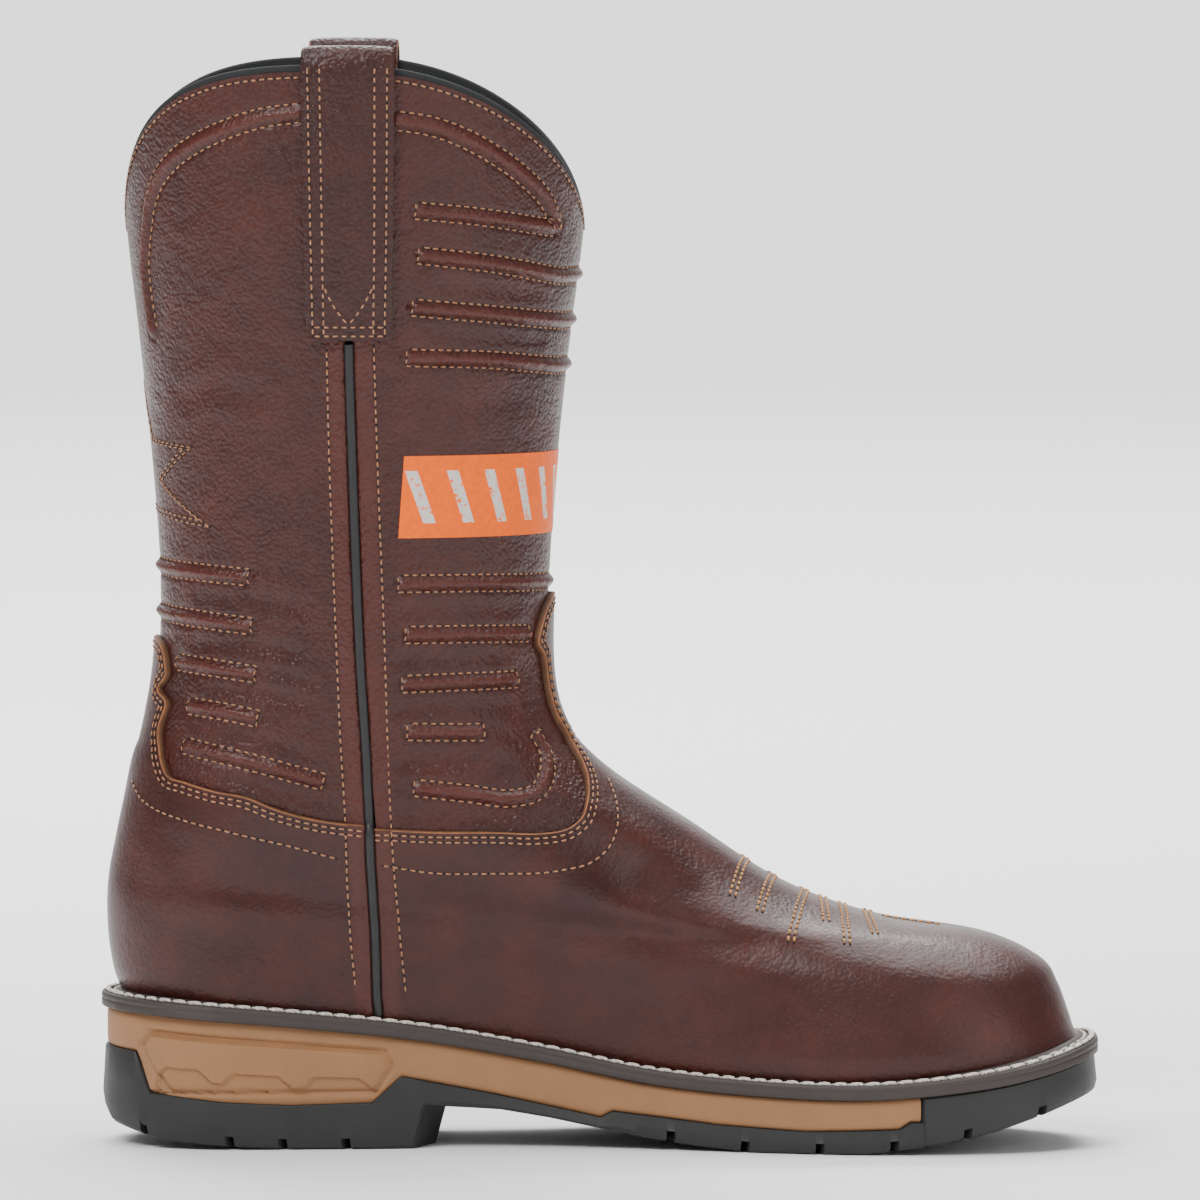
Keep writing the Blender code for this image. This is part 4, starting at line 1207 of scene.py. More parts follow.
def make_cut_edge(name, path, material):
    """Cut edge of the leather: a flat ribbon from its face down to the leather below."""
    angle, v = path[:, 0], path[:, 1]
    line = shell(angle, v, np.array(LAYER))
    ways = normals(angle, v)
    side = frame_of(line, ways)[1]
    grid = np.stack([line + side * EDGE_WIDE * out + ways * up for out, up, dark in EDGE_PROFILE])
    low = np.repeat([dark for out, up, dark in EDGE_PROFILE], len(line))
    return mesh_piece(name, grid, grid_faces(*grid.shape[:2]), material, True, 60.0, low)


def on_foot(v, angle):
    """Height of the layer under a trim: the foot panels' thickness below their edges."""
    height = form(angle, v)[:, 2]
    share = np.clip((FOXING_AT_SEAM + FOXING_FADE / 2 - height) / FOXING_FADE, 0.0, 1.0)
    return share * share * (3 - 2 * share) * LAYER


def seam_line(side, low, high, aside, lift):
    """Line beside the seam, from one height to another, lifted over what lies under it."""
    heights = np.linspace(low, high, int((high - low) / 0.0012))
    v = halved(lambda ring: turn(np.ones_like(heights), 1.0, ring), heights)
    angle = turn(np.ones_like(heights), side, v)
    line, ways = form(angle, v), normals(angle, v)
    across = frame_of(line, ways)[1]
    return line + across * aside + ways * (on_foot(v, angle) + lift)[:, None], ways


def make_lining(material):
    """Cloth inside: up the inner face of the wall, over the collar and down its face."""
    around = np.concatenate([np.linspace(0.0, 1.0, 50)[:-1], np.linspace(1.0, 2.0, 70)])
    angle, v = rings_between(around, seat_heights(around), collar_height(around), 150)
    angle = np.concatenate([angle, -angle[:, -2:0:-1]], axis=1)
    v = np.concatenate([v, v[:, -2:0:-1]], axis=1)
    rim = [shell(angle[-1:], v[-1:], np.array(deep)) + (0.0, 0.0, lift)
           for deep, lift in LINING_RIM]
    grid = np.concatenate([shell(angle, v, np.array(-WALL)), *rim])
    faces = grid_faces(*grid.shape[:2], looped=True)
    return mesh_piece("lining", grid, faces, material, True, 60.0)


def seat_heights(q):
    """Height of the lining's lowest row, just above the feather line."""
    v = np.full_like(q, 0.08)
    return form(turn(q, 1.0, v), v)[:, 2]


# Pull straps

def strap_path(q, side):
    """Middle line of a pull strap and its outward way, at places q across it."""
    half = STRAP_CLEARANCE + STRAP_THICKNESS / 2
    count = len(q)
    full = np.full(count, float(collar_height(np.array(1.0))))
    angle, v = rings_between(q, np.full(count, STRAP_BOTTOM), full - STRAP_BEND, STRAP_ROWS[0])
    angle = angle * side
    up_points, up_ways = shell(angle, v, np.array(half)), normals(angle, v)
    out = up_ways[-1] * (1.0, 1.0, 0.0)
    out /= np.linalg.norm(out, axis=-1, keepdims=True)
    middle = shell(angle[-1], v[-1], np.array(-WALL / 2))
    radius = WALL / 2 + half
    turned = np.linspace(0.0, math.pi, STRAP_ROWS[1])[1:-1, None, None]
    up = np.array((0.0, 0.0, 1.0))
    tall = radius + STRAP_RISE
    over = middle + out * radius * np.cos(turned) + up * tall * np.sin(turned)
    over_ways = out * np.cos(turned) * tall + up * np.sin(turned) * radius
    over_ways /= np.linalg.norm(over_ways, axis=-1, keepdims=True)
    deep = full - STRAP_INSIDE
    angle, v = rings_between(q, deep, full - STRAP_BEND, STRAP_ROWS[2])
    angle, v = angle[::-1] * side, v[::-1]
    in_points, in_ways = shell(angle, v, np.array(-WALL - half)), -normals(angle, v)
    return (np.concatenate([up_points, over, in_points]),
            np.concatenate([up_ways, over_ways, in_ways]))


def make_strap(name, side, settings, material, edge_material):
    """Pull strap: two layers of leather with a cut edge all round, bent over the collar."""
    v = np.array(float(TOP_RING - 1))
    here, there = (form(turn(q, 1.0, v), v) for q in (0.95, 1.05))
    reach = STRAP_WIDTH / 2 / float(np.linalg.norm(here - there)) * 0.1
    edges = np.array(STRAP_EDGE)
    shares = np.concatenate([-edges[::-1], np.linspace(-0.88, 0.88, 15), edges])
    line, ways = strap_path(1.0 + shares * reach, side)
    rounding = 1.0 - STRAP_THIN * np.clip((np.abs(shares) - 0.9) / 0.1, 0.0, 1.0) ** 2
    belly = settings.strap_belly * (1 - shares ** 4)
    half = STRAP_THICKNESS / 2 * rounding + belly
    outer = line + ways * half[:, None]
    inner = line - ways * (STRAP_THICKNESS / 2 * rounding)[:, None]
    grid = np.concatenate([outer, inner[:, ::-1]], axis=1)
    caps = [np.repeat(grid[k].mean(0)[None], grid.shape[1], axis=0)[None] for k in (0, -1)]
    grid = np.concatenate([caps[0], grid, caps[1]])
    obj = mesh_piece(name, grid, closed(grid), material, sharp=50.0)
    obj.data.materials.append(edge_material)
    columns = np.tile(np.arange(grid.shape[1]), grid.shape[0] - 1)
    edge = (columns == len(shares) - 1) | (columns == grid.shape[1] - 1)
    rows = np.repeat(np.arange(grid.shape[0] - 1), grid.shape[1])
    edge |= (rows == 0) | (rows == grid.shape[0] - 2)
    obj.data.polygons.foreach_set("material_index", edge.astype(np.int32))
    return obj, line, ways, shares


def strap_rows(line, ways, shares, settings):
    """Double stitch rows down both sides of a strap, across its foot and in a V."""
    lift = STRAP_THICKNESS / 2 + settings.strap_belly * 0.8
    last = STRAP_ROWS[0] + 2
    faced = line[:last] + ways[:last] * lift
    across = lambda row, share: np.stack(
        [np.interp(share, shares, faced[row, :, k]) for k in range(3)], axis=-1)
    rows = []
    for share in STRAP_STITCHES:
        path = np.stack([across(row, share) for row in range(1, last)])
        rows.append((path, ways[1:last, 10]))
    for row in STRAP_FOOT_ROWS:
        path = np.stack([across(row, share) for share in np.linspace(*STRAP_STITCHES[::3], 15)])
        rows.append((path, np.repeat(ways[row, 10][None], 15, 0)))
    path = smooth([across(row, share) for row, share in STRAP_MARK], 0.001)
    rows.append((path, np.repeat(ways[6, 10][None], len(path), 0)))
    return rows


# Sole

def fine_stations(count, corners, last=1.0):
    """Shares of the sole's length, close at the ends, with every corner among them."""
    even = (1 - np.cos(np.linspace(0, math.pi, count))) / 2 * last
    return np.unique(np.concatenate([even, [c for c in corners if 0 < c < last]]))


def sole_rows(s, rows, bottom, top):
    """Both sides of a profile of (share of height, inset), carried along the stations."""
    share, inset = np.array(rows + rows[::-1]).T
    side = np.repeat((1.0, -1.0), len(rows))
    at = np.broadcast_to(s[:, None], (len(s), len(share)))
    z = bottom[:, None] + share * (top - bottom)[:, None]
    return at, share, np.broadcast_to(inset, at.shape), side, z


def sole_piece(name, at, side, inset, z, material, sharp):
    """A closed layer of the sole from its grid of stations, insets and heights."""
    x, y = sole_edge(at, side, inset)
    grid = np.stack([x, y, z], axis=-1)
    return mesh_piece(name, grid, closed(grid), material, sharp=sharp)


def flat_distance(x, z, line):
    """Distance in the side view from points to a broken line."""
    points = np.stack([x.ravel(), z.ravel() * 0, z.ravel()], axis=1)
    line = np.stack([line[:, 0] * MM, line[:, 0] * 0, line[:, 1] * MM], axis=1)
    return line_distance(points, line).reshape(x.shape)


def panel_dent(x, z):
    """Depth of the heel panel's moulding: a groove round it, and a step under its line."""
    groove = PANEL_GROOVE * np.exp(-(flat_distance(x, z, np.array(HEEL_PANEL)) / MOULD_GROOVE) ** 2)
    step_at = np.interp(x / MM, [p[0] for p in HEEL_STEP], [p[1] for p in HEEL_STEP]) * MM
    under = np.clip((step_at - z) / MOULD_STEP + 0.5, 0.0, 1.0)
    inside = (x > HEEL_STEP[0][0] * MM) & (x < HEEL_STEP[-1][0] * MM) & (z > STEP_FLOOR)
    return groove + PANEL_STEP * under * inside


def make_midsole(material):
    """Tan midsole, with a moulded panel on both sides of the heel."""
    end = (MIDSOLE_END - SPLIT_END) / LENGTH
    s = fine_stations(SOLE_FINE, list(split_corners(GAP)[0]), end)
    inset = SIDE_INSET + MIDSOLE_INSET
    share = np.linspace(0.0, 1.0, MIDSOLE_ROWS)
    rows = [(0.0, LAYER_REACH)] + [(k, inset + 0.0007 * (2 * abs(k - 0.5)) ** 8) for k in share]
    rows += [(1.0, LAYER_REACH)]
    at, share, inset, side, z = sole_rows(s, rows, split_height(s, 0.0) + 0.0001,
                                          welt_bottom(s) - GAP)
    x = at * LENGTH - HEEL_REST
    dent = panel_dent(x, z) - PANEL_PROUD * window(x, z)
    inset = inset + dent * (share > 0.02) * (share < 0.98)
    return sole_piece("midsole_foam", at, side, inset, z, material, 35.0)


def window(x, z):
    """1 inside the heel panel and 0 outside, with slanted ends."""
    ends = np.interp(x / MM, WINDOW_ENDS, (0.0, 1.0, 1.0, 0.0))
    low = np.clip((z - WINDOW_FLOOR) / MOULD_GROOVE, 0.0, 1.0)
    edge = WINDOW_TOP - WINDOW_FALL * (x - WINDOW_START)
    return ends * low * np.clip((edge - z) / MOULD_GROOVE, 0.0, 1.0)


def groove_places():
    """Places along the sole of the grooves between its lugs."""
    return list(HEEL_GROOVES) + [FIRST_TOE_GROOVE + i * TOE_GROOVE_PITCH
                                 for i in range(TOE_GROOVE_COUNT)]


def make_outsole(material):
    """Dark outsole: side walls, and a tread whose grooves are cut in from both sides."""
    end = MIDSOLE_END / LENGTH
    corners = list(split_corners(0.0)[0]) + [end, end + SPLIT_END / LENGTH]
    corners += list(TREAD_LINE["share"])
    for spot in groove_places():
        for away in LUG_EDGES:
            corners.append((spot + away * GROOVE_WIDTH) / LENGTH)
    s = fine_stations(SOLE_FINE, corners)
    top = np.where(s <= end, split_height(s, 0.0), welt_bottom(s) - GAP)
    bottom = tread_height(s)
    rows = list(OUTSOLE_SIDE)
    rows += [(0.0, TREAD_INSET + (LUG_REACH - TREAD_INSET) * k) for k in FLOOR_SHARES]
    rows += [(0.0, LUG_REACH + 0.0008)]
    at, share, inset, side, z = sole_rows(s, rows, bottom, top)
    spots = np.array(groove_places())
    near = np.abs(at[..., None] * LENGTH - spots).min(axis=-1)
    cut = (near <= GROOVE_WIDTH * GROOVE_CUT) & (share < 0.01) & (inset <= LUG_REACH + 0.0001)
    z = z + np.where(cut, GROOVE_DEPTH, 0.0)
    low_wall = (near <= GROOVE_WIDTH * GROOVE_CUT) & (share > 0.01) & (share < 0.3)
    z = np.where(low_wall, np.maximum(z, bottom[:, None] + GROOVE_DEPTH + share * 0.001), z)
    return sole_piece("outsole_rubber", at, side, inset, z, material, 30.0)


def make_welt(material):
    """Strip round the sole's edge, with rounded corners and a channel for its stitches."""
    s = fine_stations(320, ())
    around = np.concatenate([s, s[-2:0:-1]])
    side = np.concatenate([np.ones(len(s)), -np.ones(len(s) - 2)])
    inner = FEATHER + WALL + 0.002
    rings = []
    for inset, drop in WELT_PROFILE + ((inner, 0.0), (inner, 1.0)):
        x, y = sole_edge(around, side, inset)
        rings.append(np.stack([x, y, welt_top(around) - drop * WELT_THICKNESS], axis=1))
    grid = np.stack(rings, axis=1)
    index = np.arange(grid.shape[0] * grid.shape[1]).reshape(grid.shape[:2])
    faces = outward(grid.reshape(-1, 3), quads(np.pad(index, ((0, 1), (0, 1)), mode="wrap")))
    return mesh_piece("welt_strip", grid, faces, material, sharp=50.0)


def welt_row(inset, lift):
    """Line along the welt's top at an inset from its edge, with its upward ways."""
    s = fine_stations(200, ())
    around = np.concatenate([s, s[-2::-1]])
    side = np.concatenate([np.ones(len(s)), -np.ones(len(s) - 1)])
    x, y = sole_edge(around, side, inset)
    line = np.stack([x, y, welt_top(around) + lift], axis=1)
    line = line[np.concatenate([[True], np.linalg.norm(np.diff(line, axis=0), axis=1) > 1e-6])]
    return line, np.repeat([[0.0, 0.0, 1.0]], len(line), axis=0)


def make_insole(material):
    """Padded insole: a crowned face with a rounded rim."""
    s = fine_stations(160, ())
    inset = FEATHER + WALL + INSOLE_CLEARANCE
    shares = np.sin(np.linspace(-1.0, 1.0, 41) * math.pi / 2)
    x, y = sole_edge(s[:, None], 1.0, inset)
    low_y = sole_edge(s[:, None], -1.0, inset)[1]
    across = low_y + (y - low_y) * (shares + 1) / 2
    crown = (1 - np.abs(shares) ** 6) * INSOLE_ROUND
    z = (welt_top(s) + INSOLE_RISE - INSOLE_ROUND)[:, None] + crown
    top = np.stack([np.broadcast_to(x, across.shape), across, z], axis=-1)
    under = top[:, ::-1] * (1.0, 1.0, 0.0) + np.stack(
        [0 * across, 0 * across, np.broadcast_to(welt_bottom(s)[:, None], across.shape)], axis=-1)
    grid = np.concatenate([top, under], axis=1)
    return mesh_piece("insole_pad", grid, closed(grid), material, sharp=50.0)


# Settings and operators

def length(name, value, description):
    """A setting that is a length in metres."""
    return bpy.props.FloatProperty(name=name, default=value, description=description,
                                   min=0.0, unit="LENGTH", precision=5)


def colour(name, value, description):
    """A setting that is a colour."""
    return bpy.props.FloatVectorProperty(name=name, default=value, description=description,
                                         subtype="COLOR", size=3, min=0.0, max=1.0)


class BootSizes(bpy.types.PropertyGroup):
    """Sizes of the boot's padding, stitches and grain."""

    cord_width: length("Cord width", 0.0050, "Width of the padded cord under the collar")
    cord_rise: length("Cord rise", 0.0014, "Height of the padded cord over the leather")
    bar_width: length("Bar width", 0.0044, "Width of the padded bars on the shaft")
    bar_rise: length("Bar rise", 0.0014, "Height of the padded bars over the leather")
    groove: length("Stitch groove", 0.00045, "Depth of the groove that stitches pull in")
    grain_size: length("Grain size", 0.0011, "Width of one pebble of the leather's grain")
    stitch: length("Stitch", 0.0020, "Length of one stitch of the shaft")
    stitch_pitch: length("Stitch pitch", 0.0027, "Distance from one stitch to the next")
    stitch_width: length("Stitch width", 0.00062, "Thickness of the shaft's thread")
    stitch_hole: length("Needle hole", 0.00085, "Width of the dark hole between stitches")
    toe_stitch_width: length("Toe stitch width", 0.0010, "Thickness of the toe's gold thread")
    welt_stitch: length("Welt stitch", 0.0050, "Length of one stitch of the welt")
    welt_pitch: length("Welt pitch", 0.0050, "Distance between stitches of the welt")
    welt_stitch_width: length("Welt stitch width", 0.0019, "Width of one stitch of the welt")
    strap_belly: length("Strap belly", 0.0005, "How far a pull strap's face bulges")


class BootColours(bpy.types.PropertyGroup):
    """Colours of the boot's leathers, threads and rubbers."""

    leather: colour("Leather", (0.042, 0.0082, 0.0054), "Brown of the leather")
    # Redder tone: random patches, the seam leather, and the painted highlight on ridges.
    leather_red: colour("Worn leather", (0.088, 0.0150, 0.0090), "Redder, worn leather")
    raw_edge: colour("Cut edge", (0.27, 0.105, 0.040), "Cut edge of the leather")
    thread: colour("Thread", (0.42, 0.19, 0.085), "Thread of the shaft")
    toe_thread: colour("Toe thread", (0.52, 0.24, 0.070), "Gold thread of the toe")
    welt_thread: colour("Welt thread", (0.74, 0.69, 0.60), "White thread of the welt")
    piping: colour("Piping", (0.007, 0.007, 0.007), "Cord in the side seams")
    lining: colour("Lining", (0.014, 0.015, 0.016), "Cloth inside the boot")
    print_colour: colour("Print", (1.0, 0.135, 0.0), "Film printed on the shaft")
    print_pale: colour("Print bars", (0.62, 0.58, 0.54), "Pale bars of the print")
    welt: colour("Welt", (0.036, 0.026, 0.023), "Rubber of the welt")
    midsole: colour("Midsole", (0.285, 0.136, 0.056), "Foam of the midsole")
    outsole: colour("Outsole", (0.013, 0.0135, 0.013), "Rubber of the outsole")


class Settings:
    """Both groups read as one, with colours as arrays."""

    def __init__(self, scene):
        self.scene = scene

    def __getattr__(self, name):
        groups = (self.scene.boot_sizes, self.scene.boot_colours)
        group = groups[0] if hasattr(groups[0], name) else groups[1]
        value = getattr(group, name)
        return value if isinstance(value, float) else np.array(value[:])


class BootOperator:
    """What every operator of this file shares."""

    bl_options = {"REGISTER", "UNDO"}

    def execute(self, context):
        settings = Settings(context.scene)
        self.make(settings, finishes(settings))
        return {"FINISHED"}


class BOOT_OT_shaft(BootOperator, bpy.types.Operator):
    """Back and front halves of the shaft, with padded bars, and the cloth lining"""

    bl_idname = "boot.shaft"
    bl_label = "Shaft"

    def make(self, settings, finish):
        relief = Relief(settings)
        gap = SHAFT_GAP
        leather = finish["shaft leather"]
        make_shaft_panel("shaft_back", np.linspace(gap - 1.0, 1.0 - gap, BACK_FINE), relief,
                         settings, leather)
        q = np.linspace(1.0 + gap, 3.0 - gap, FRONT_FINE)
        make_shaft_panel("shaft_front", np.where(q > 2.0, q - 4.0, q), relief, settings, leather)
        lining = make_lining(finish["lining cloth"])
        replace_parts(lining, "upper")


class BOOT_OT_foot(BootOperator, bpy.types.Operator):
    """Vamp and counter over the shaft, each with its cut edge"""

    bl_idname = "boot.foot"
    bl_label = "Vamp and counter"

    def make(self, settings, finish):
        relief = Relief(settings)
        for name, node, edge, centre in foot_edges():
            obj = make_foot_panel(name, edge, centre, relief, finish["foot leather"])
            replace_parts(obj, node)
            make_cut_edge(name + "_edge", edge_ends(edge, centre), finish["raw edge"])


def foot_edges():
    """Name, CAD node, upper edge and middle angle of the vamp and of the counter."""
    vamp = edge_path(VAMP_LINE, VAMP_NECK, VAMP_TONGUE, math.pi)
    counter = edge_path(COUNTER_LINE, COUNTER_NECK, COUNTER_TONGUE, 0.0)
    return (("vamp_panel", "vamp", vamp, math.pi), ("heel_counter", "counter", counter, 0.0))


class BOOT_OT_seams(BootOperator, bpy.types.Operator):
    """Side seams: a black cord between the folded edges of the leather"""

    bl_idname = "boot.seams"
    bl_label = "Side seams"

    def make(self, settings, finish):
        for name, side in SIDES:
            low = welt_at_seam() + 0.0006
            line, ways = seam_line(side, low, STRAP_BOTTOM - PIPING_RADIUS, 0.0, PIPING_LIFT)
            cord = tube("seam_cord_" + name, line, ways, circle(PIPING_RADIUS),
                        finish["black piping"])
            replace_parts(cord, "piping_" + name)


def welt_at_seam():
    """Height of the feather line at the side seam."""
    v = np.array(0.0)
    return float(form(turn(1.0, 1.0, v), v)[2])


class BOOT_OT_straps(BootOperator, bpy.types.Operator):
    """Pull straps over the collar, with their stitches"""

    bl_idname = "boot.straps"
    bl_label = "Pull straps"

    def make(self, settings, finish):
        for name, side in SIDES:
            obj, line, ways, shares = make_strap(
                "strap_" + name, side, settings, finish["strap leather"], finish["raw edge"])
            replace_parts(obj, "pull_strap_" + name)
            rows = strap_rows(line, ways, shares, settings)
            sewn("strap_stitches_" + name, rows, settings, settings.stitch_width,
                 finish["thread"], finish)


class BOOT_OT_shaft_stitches(BootOperator, bpy.types.Operator):
    """Stitch rows of the shaft: round its padded lines, along the collar, and the star"""

    bl_idname = "boot.shaft_stitches"
    bl_label = "Shaft stitches"

    def make(self, settings, finish):
        relief = Relief(settings)
        lift = settings.stitch_width * 0.2
        rows = []
        for path in relief.bars:
            rows.append(outline_on(path, lift, settings.bar_width / 2 + STITCH_BESIDE,
                                   relief.shaft))
        for path in relief.cords:
            for way in (-1.0, 1.0):
                aside = way * (settings.cord_width / 2 + STITCH_BESIDE)
                rows.append(row_on(path, lift, aside, relief.shaft))
        for side in (1.0, -1.0):
            for q in COLLAR_SPANS:
                height = collar_height(q) - COLLAR_INSET - COLLAR_ROW
                path = path_at(lambda ring: turn(q, 1.0, ring), height, side)
                rows.append(row_on(path, lift, 0.0, relief.shaft))
        sewn("shaft_stitches", rows, settings, settings.stitch_width, finish["thread"],
             finish)
        star = []
        degrees, heights = np.array(STAR).T
        corners = np.stack([np.radians(degrees), heights * MM], axis=1)
        middle = np.array([0.0, corners[:, 1].mean()])
        share = np.linspace(0.0, 1.0, 12)[:, None]
        for side in (1.0, -1.0):
            for inner in (0.0, STAR_ROWS):
                moved = middle + (corners - middle) * (1 - inner)
                for start, stop in zip(moved[:-1], moved[1:]):
                    angle, height = (start + (stop - start) * share).T
                    path = path_at(lambda ring: angle, height, side)
                    star.append(row_on(path, lift, 0.0, relief.shaft))
        sewn("star_stitches", star, settings, settings.stitch_width * 0.8,
             finish["thread"], finish)


class BOOT_OT_foot_stitches(BootOperator, bpy.types.Operator):
    """Stitch rows of the foot: under the cut edges, beside the seams, and over the toe"""

    bl_idname = "boot.foot_stitches"
    bl_label = "Foot stitches"

    def make(self, settings, finish):
        relief = Relief(settings)
        lift = settings.stitch_width * 0.2
        on_leather = lambda path, aside: row_on(path, lift, aside, relief.foot, LAYER)
        rows = []
        for *_, edge, centre in foot_edges():
            rows += [on_leather(edge_ends(edge, centre), -aside) for aside in EDGE_ROWS]
        for points in (COUNTER_ROW, VAMP_ROW):
            rows += [on_leather(path, 0.0) for path in both_sides(side_path(points))]
        for points in (SEAM_BACK_ROW, SEAM_FRONT_ROW):
            for path in both_sides(side_path(points)):
                line, ways = row_on(path, lift, 0.0)
                line = line + ways * on_foot(path[:, 1], path[:, 0])[:, None]
                rows.append((line, ways))
        sewn("foot_stitches", rows, settings, settings.stitch_width, finish["thread"],
             finish)
        toe = []
        for x, z, top in TOE_FINGERS:
            start = place(np.array([(x, z)]))[0]
            share = np.linspace(0.0, 1.0, 24)
            angle = start + (math.pi - start) * share
            v = ring_at_length(angle, x + (top - x) * share)
            path = np.stack([-angle, v], axis=1)
            path = np.concatenate([path, path[-2::-1] * (-1.0, 1.0) - (2 * math.pi, 0.0)])
            toe += [on_leather(path, aside) for aside in (-FINGER_ROW, FINGER_ROW)]
        ends = ring_at_length(np.full(2, math.pi), np.array(TOE_LINE))
        v = np.linspace(ends[0], ends[1], 20)
        path = np.stack([np.full(20, -math.pi + 0.001), v], axis=1)
        toe += [on_leather(path, aside) for aside in (-FINGER_ROW, FINGER_ROW)]
        sewn("toe_stitches", toe, settings, settings.toe_stitch_width,
             finish["toe thread"], finish)


def ring_at_length(angle, x):
    """Ring numbers where the foot, at the angles, is x millimetres ahead of the heel's rest."""
    v = np.linspace(*TOE_SEARCH)
    along = form(np.repeat(angle[:, None], len(v), axis=1), np.repeat(v[None], len(angle), axis=0))
    return np.array([np.interp(-ahead * MM, -line, v) for ahead, line in zip(x, along[..., 0])])


class BOOT_OT_print(BootOperator, bpy.types.Operator):
    """Printed panel round the front of the shaft: a thin film on the leather"""

    bl_idname = "boot.print"
    bl_label = "Printed panel"

    def make(self, settings, finish):
        relief = Relief(settings)
        angle = place(np.array([PANEL_TOP, PANEL_LOW]))[0]
        share = np.linspace(0.0, 1.0, PRINT_COLUMNS)
        down = np.linspace(0.0, 1.0, PRINT_ROWS)[:, None]
        start = angle[0] + (angle[1] - angle[0]) * down
        turned = start + (2 * math.pi - 2 * start) * share
        heights = (PANEL_TOP[1] + (PANEL_LOW[1] - PANEL_TOP[1]) * down) * MM
        rings = halved(lambda ring: turned, np.broadcast_to(heights, turned.shape).copy())
        rise = relief.shaft(form(turned, rings).reshape(-1, 3)).reshape(turned.shape)
        turned, rings, offset = hemmed((turned, rings, rise + FILM), FILM * 1.5)
        points = shell(turned, rings, offset[..., None])
        obj = mesh_piece("printed_panel", points, grid_faces(*rings.shape), finish["printed film"],
                         False)
        flat = np.stack(np.broadcast_arrays(
            np.pad(share, 1, mode="edge")[None] * PRINT_RATIO,
            1 - np.pad(down[:, 0], 1, mode="edge")[:, None]), axis=-1).reshape(-1, 2)
        layer = obj.data.uv_layers.new(name="print")
        corner = np.empty(len(obj.data.loops), np.int32)
        obj.data.loops.foreach_get("vertex_index", corner)
        layer.data.foreach_set("uv", flat[corner].astype(np.float32).ravel())


class BOOT_OT_welt(BootOperator, bpy.types.Operator):
    """Welt with its two rows of stitches"""

    bl_idname = "boot.welt"
    bl_label = "Welt"

    def make(self, settings, finish):
        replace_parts(make_welt(finish["welt rubber"]), "welt")
        width = settings.welt_stitch_width
        stitches("welt_stitches", [welt_row(*WELT_ROW)], settings.welt_stitch, width,
                 width * 0.8, settings.welt_pitch, finish["welt thread"])
        stitches("welt_inner_stitches", [welt_row(*WELT_INNER_ROW)], settings.welt_stitch * 0.8,
                 width * 0.6, width * 0.5, settings.welt_pitch, finish["welt thread"])


class BOOT_OT_sole(BootOperator, bpy.types.Operator):
    """Midsole with its moulded heel panel, outsole with its lugs, and the insole"""

    bl_idname = "boot.sole"
    bl_label = "Sole"

    def make(self, settings, finish):
        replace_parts(make_midsole(finish["midsole foam"]), "midsole")
        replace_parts(make_outsole(finish["outsole rubber"]), "outsole")
        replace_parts(make_insole(finish["insole cloth"]), "insole")


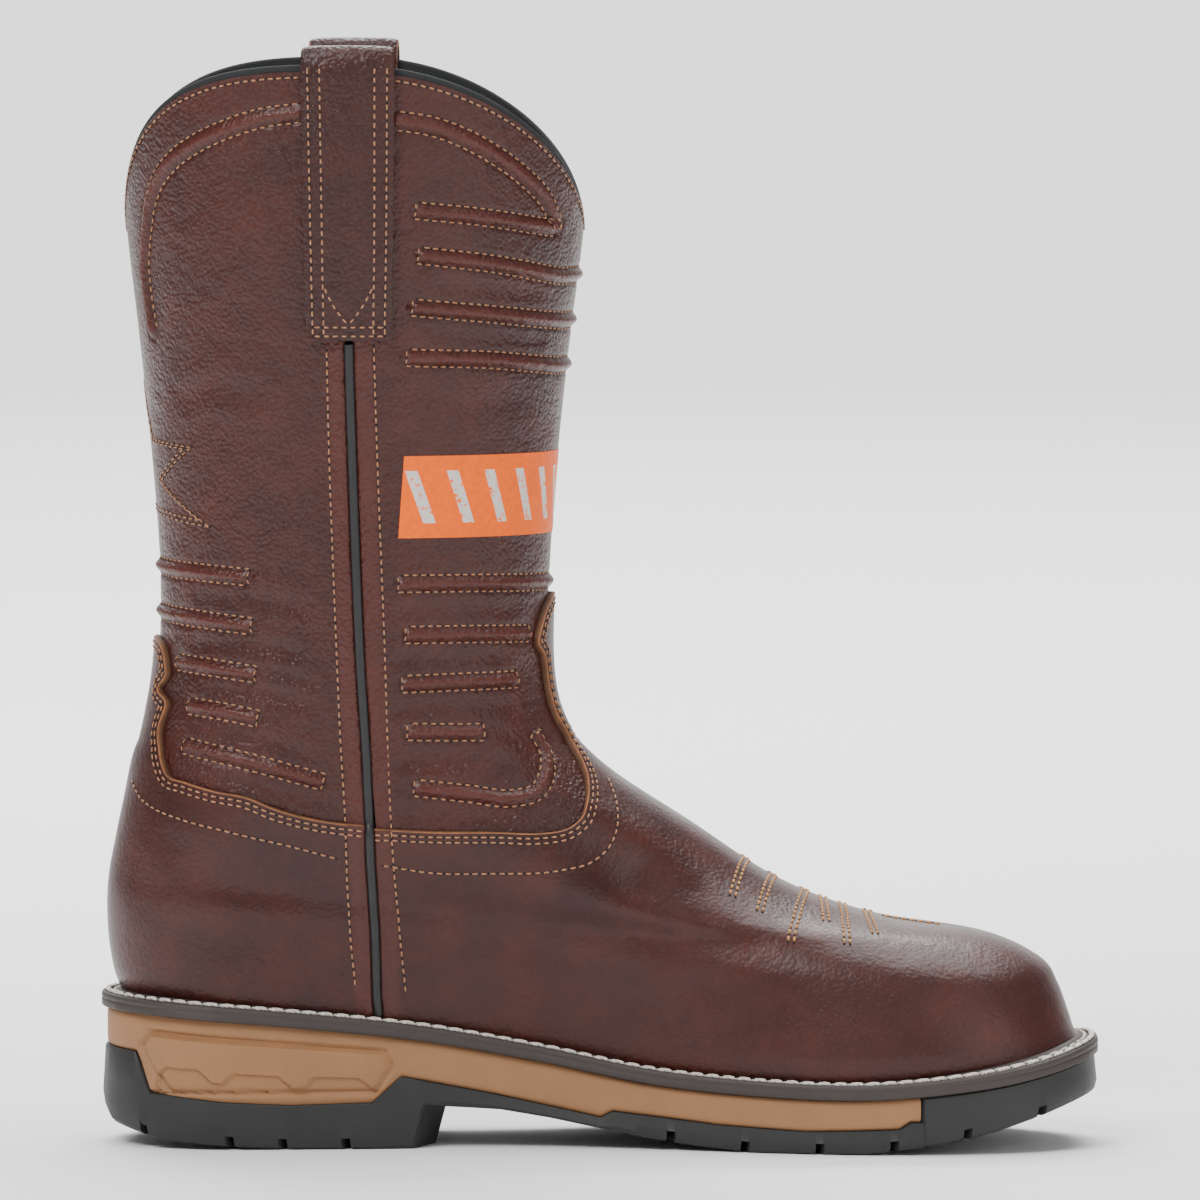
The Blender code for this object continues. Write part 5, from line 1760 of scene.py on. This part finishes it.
class BOOT_OT_stage(bpy.types.Operator):
    """Pale floor and backdrop, soft lights, and the camera"""

    bl_idname = "boot.stage"
    bl_label = "Stage"
    bl_options = {"REGISTER", "UNDO"}

    def execute(self, context):
        scene = context.scene
        paper = Look("studio paper")
        tone = paper.mix(paper.ramp(paper.noise(1.5, 2.0)), *PAPER_TONES)
        material = paper.made(tone, 0.9)
        turned = np.linspace(0.0, math.pi / 2, 24)
        y = np.concatenate([[-FLOOR_REACH], BACKDROP + np.sin(turned) * BEND, [BACKDROP + BEND]])
        z = np.concatenate([[0.0], BEND - np.cos(turned) * BEND, [WALL_TOP]])
        x = np.array([-FLOOR_REACH, FLOOR_REACH])
        grid = np.stack(np.broadcast_arrays(x[None], y[:, None], z[:, None]), axis=-1)
        mesh = bpy.data.meshes.new("studio_floor")
        mesh.from_pydata(grid.reshape(-1, 3).tolist(), [], grid_faces(len(y), 2).tolist())
        mesh.materials.append(material)
        mesh.shade_smooth()
        floor = bpy.data.objects.new("studio_floor", mesh)
        scene.collection.objects.link(floor)
        for name, spot, size, power, target in LIGHTS:
            lamp = bpy.data.lights.new(name, "AREA")
            lamp.shape, lamp.size, lamp.energy = "DISK", size, power
            aimed(name, lamp, spot, target)
        world = bpy.data.worlds.new("studio air")
        scene.world = world
        world.use_nodes = True
        air = world.node_tree.nodes["Background"]
        air.inputs["Color"].default_value = (1.0, 1.0, 1.0, 1.0)
        air.inputs["Strength"].default_value = AIR_STRENGTH
        lens = bpy.data.cameras.new("camera")
        lens.lens, lens.sensor_width = CAMERA_LENS, 36.0
        lens.clip_start, lens.clip_end = 0.1, 50.0
        scene.camera = aimed("camera", lens, CAMERA_PLACE, CAMERA_TARGET)
        return {"FINISHED"}


def aimed(name, data, spot, target):
    """A light or camera at a spot, turned to face the target."""
    way = np.array(target) - np.array(spot)
    pitch = math.atan2(math.hypot(way[0], way[1]), -way[2])
    obj = bpy.data.objects.new(name, data)
    obj.location = spot
    obj.rotation_euler = (pitch, 0.0, math.atan2(-way[0], way[1]))
    bpy.context.scene.collection.objects.link(obj)
    return obj


PIECES = (
    BOOT_OT_shaft, BOOT_OT_foot, BOOT_OT_seams, BOOT_OT_straps, BOOT_OT_shaft_stitches,
    BOOT_OT_foot_stitches, BOOT_OT_print, BOOT_OT_welt, BOOT_OT_sole, BOOT_OT_stage,
)


class BOOT_PT_panel(bpy.types.Panel):
    """Sizes, colours and pieces of the boot"""

    bl_label = "Western work boot"
    bl_space_type = "VIEW_3D"
    bl_region_type = "UI"
    bl_category = "Boot"

    def draw(self, context):
        for group in (context.scene.boot_sizes, context.scene.boot_colours):
            box = self.layout.box()
            for name in group.__annotations__:
                box.prop(group, name)
        for piece in PIECES:
            self.layout.operator(piece.bl_idname)


def register():
    """Adds the settings, operators and panel."""
    for group in (BootSizes, BootColours, *PIECES, BOOT_PT_panel):
        bpy.utils.register_class(group)
    bpy.types.Scene.boot_sizes = bpy.props.PointerProperty(type=BootSizes)
    bpy.types.Scene.boot_colours = bpy.props.PointerProperty(type=BootColours)


def unregister():
    """Takes them out again."""
    del bpy.types.Scene.boot_colours
    del bpy.types.Scene.boot_sizes
    for group in (BOOT_PT_panel, *PIECES[::-1], BootColours, BootSizes):
        bpy.utils.unregister_class(group)


def main():
    """Builds every piece and the studio."""
    register()
    for piece in PIECES:
        family, name = piece.bl_idname.split(".")
        getattr(getattr(bpy.ops, family), name)()


if __name__ == "__main__":
    main()
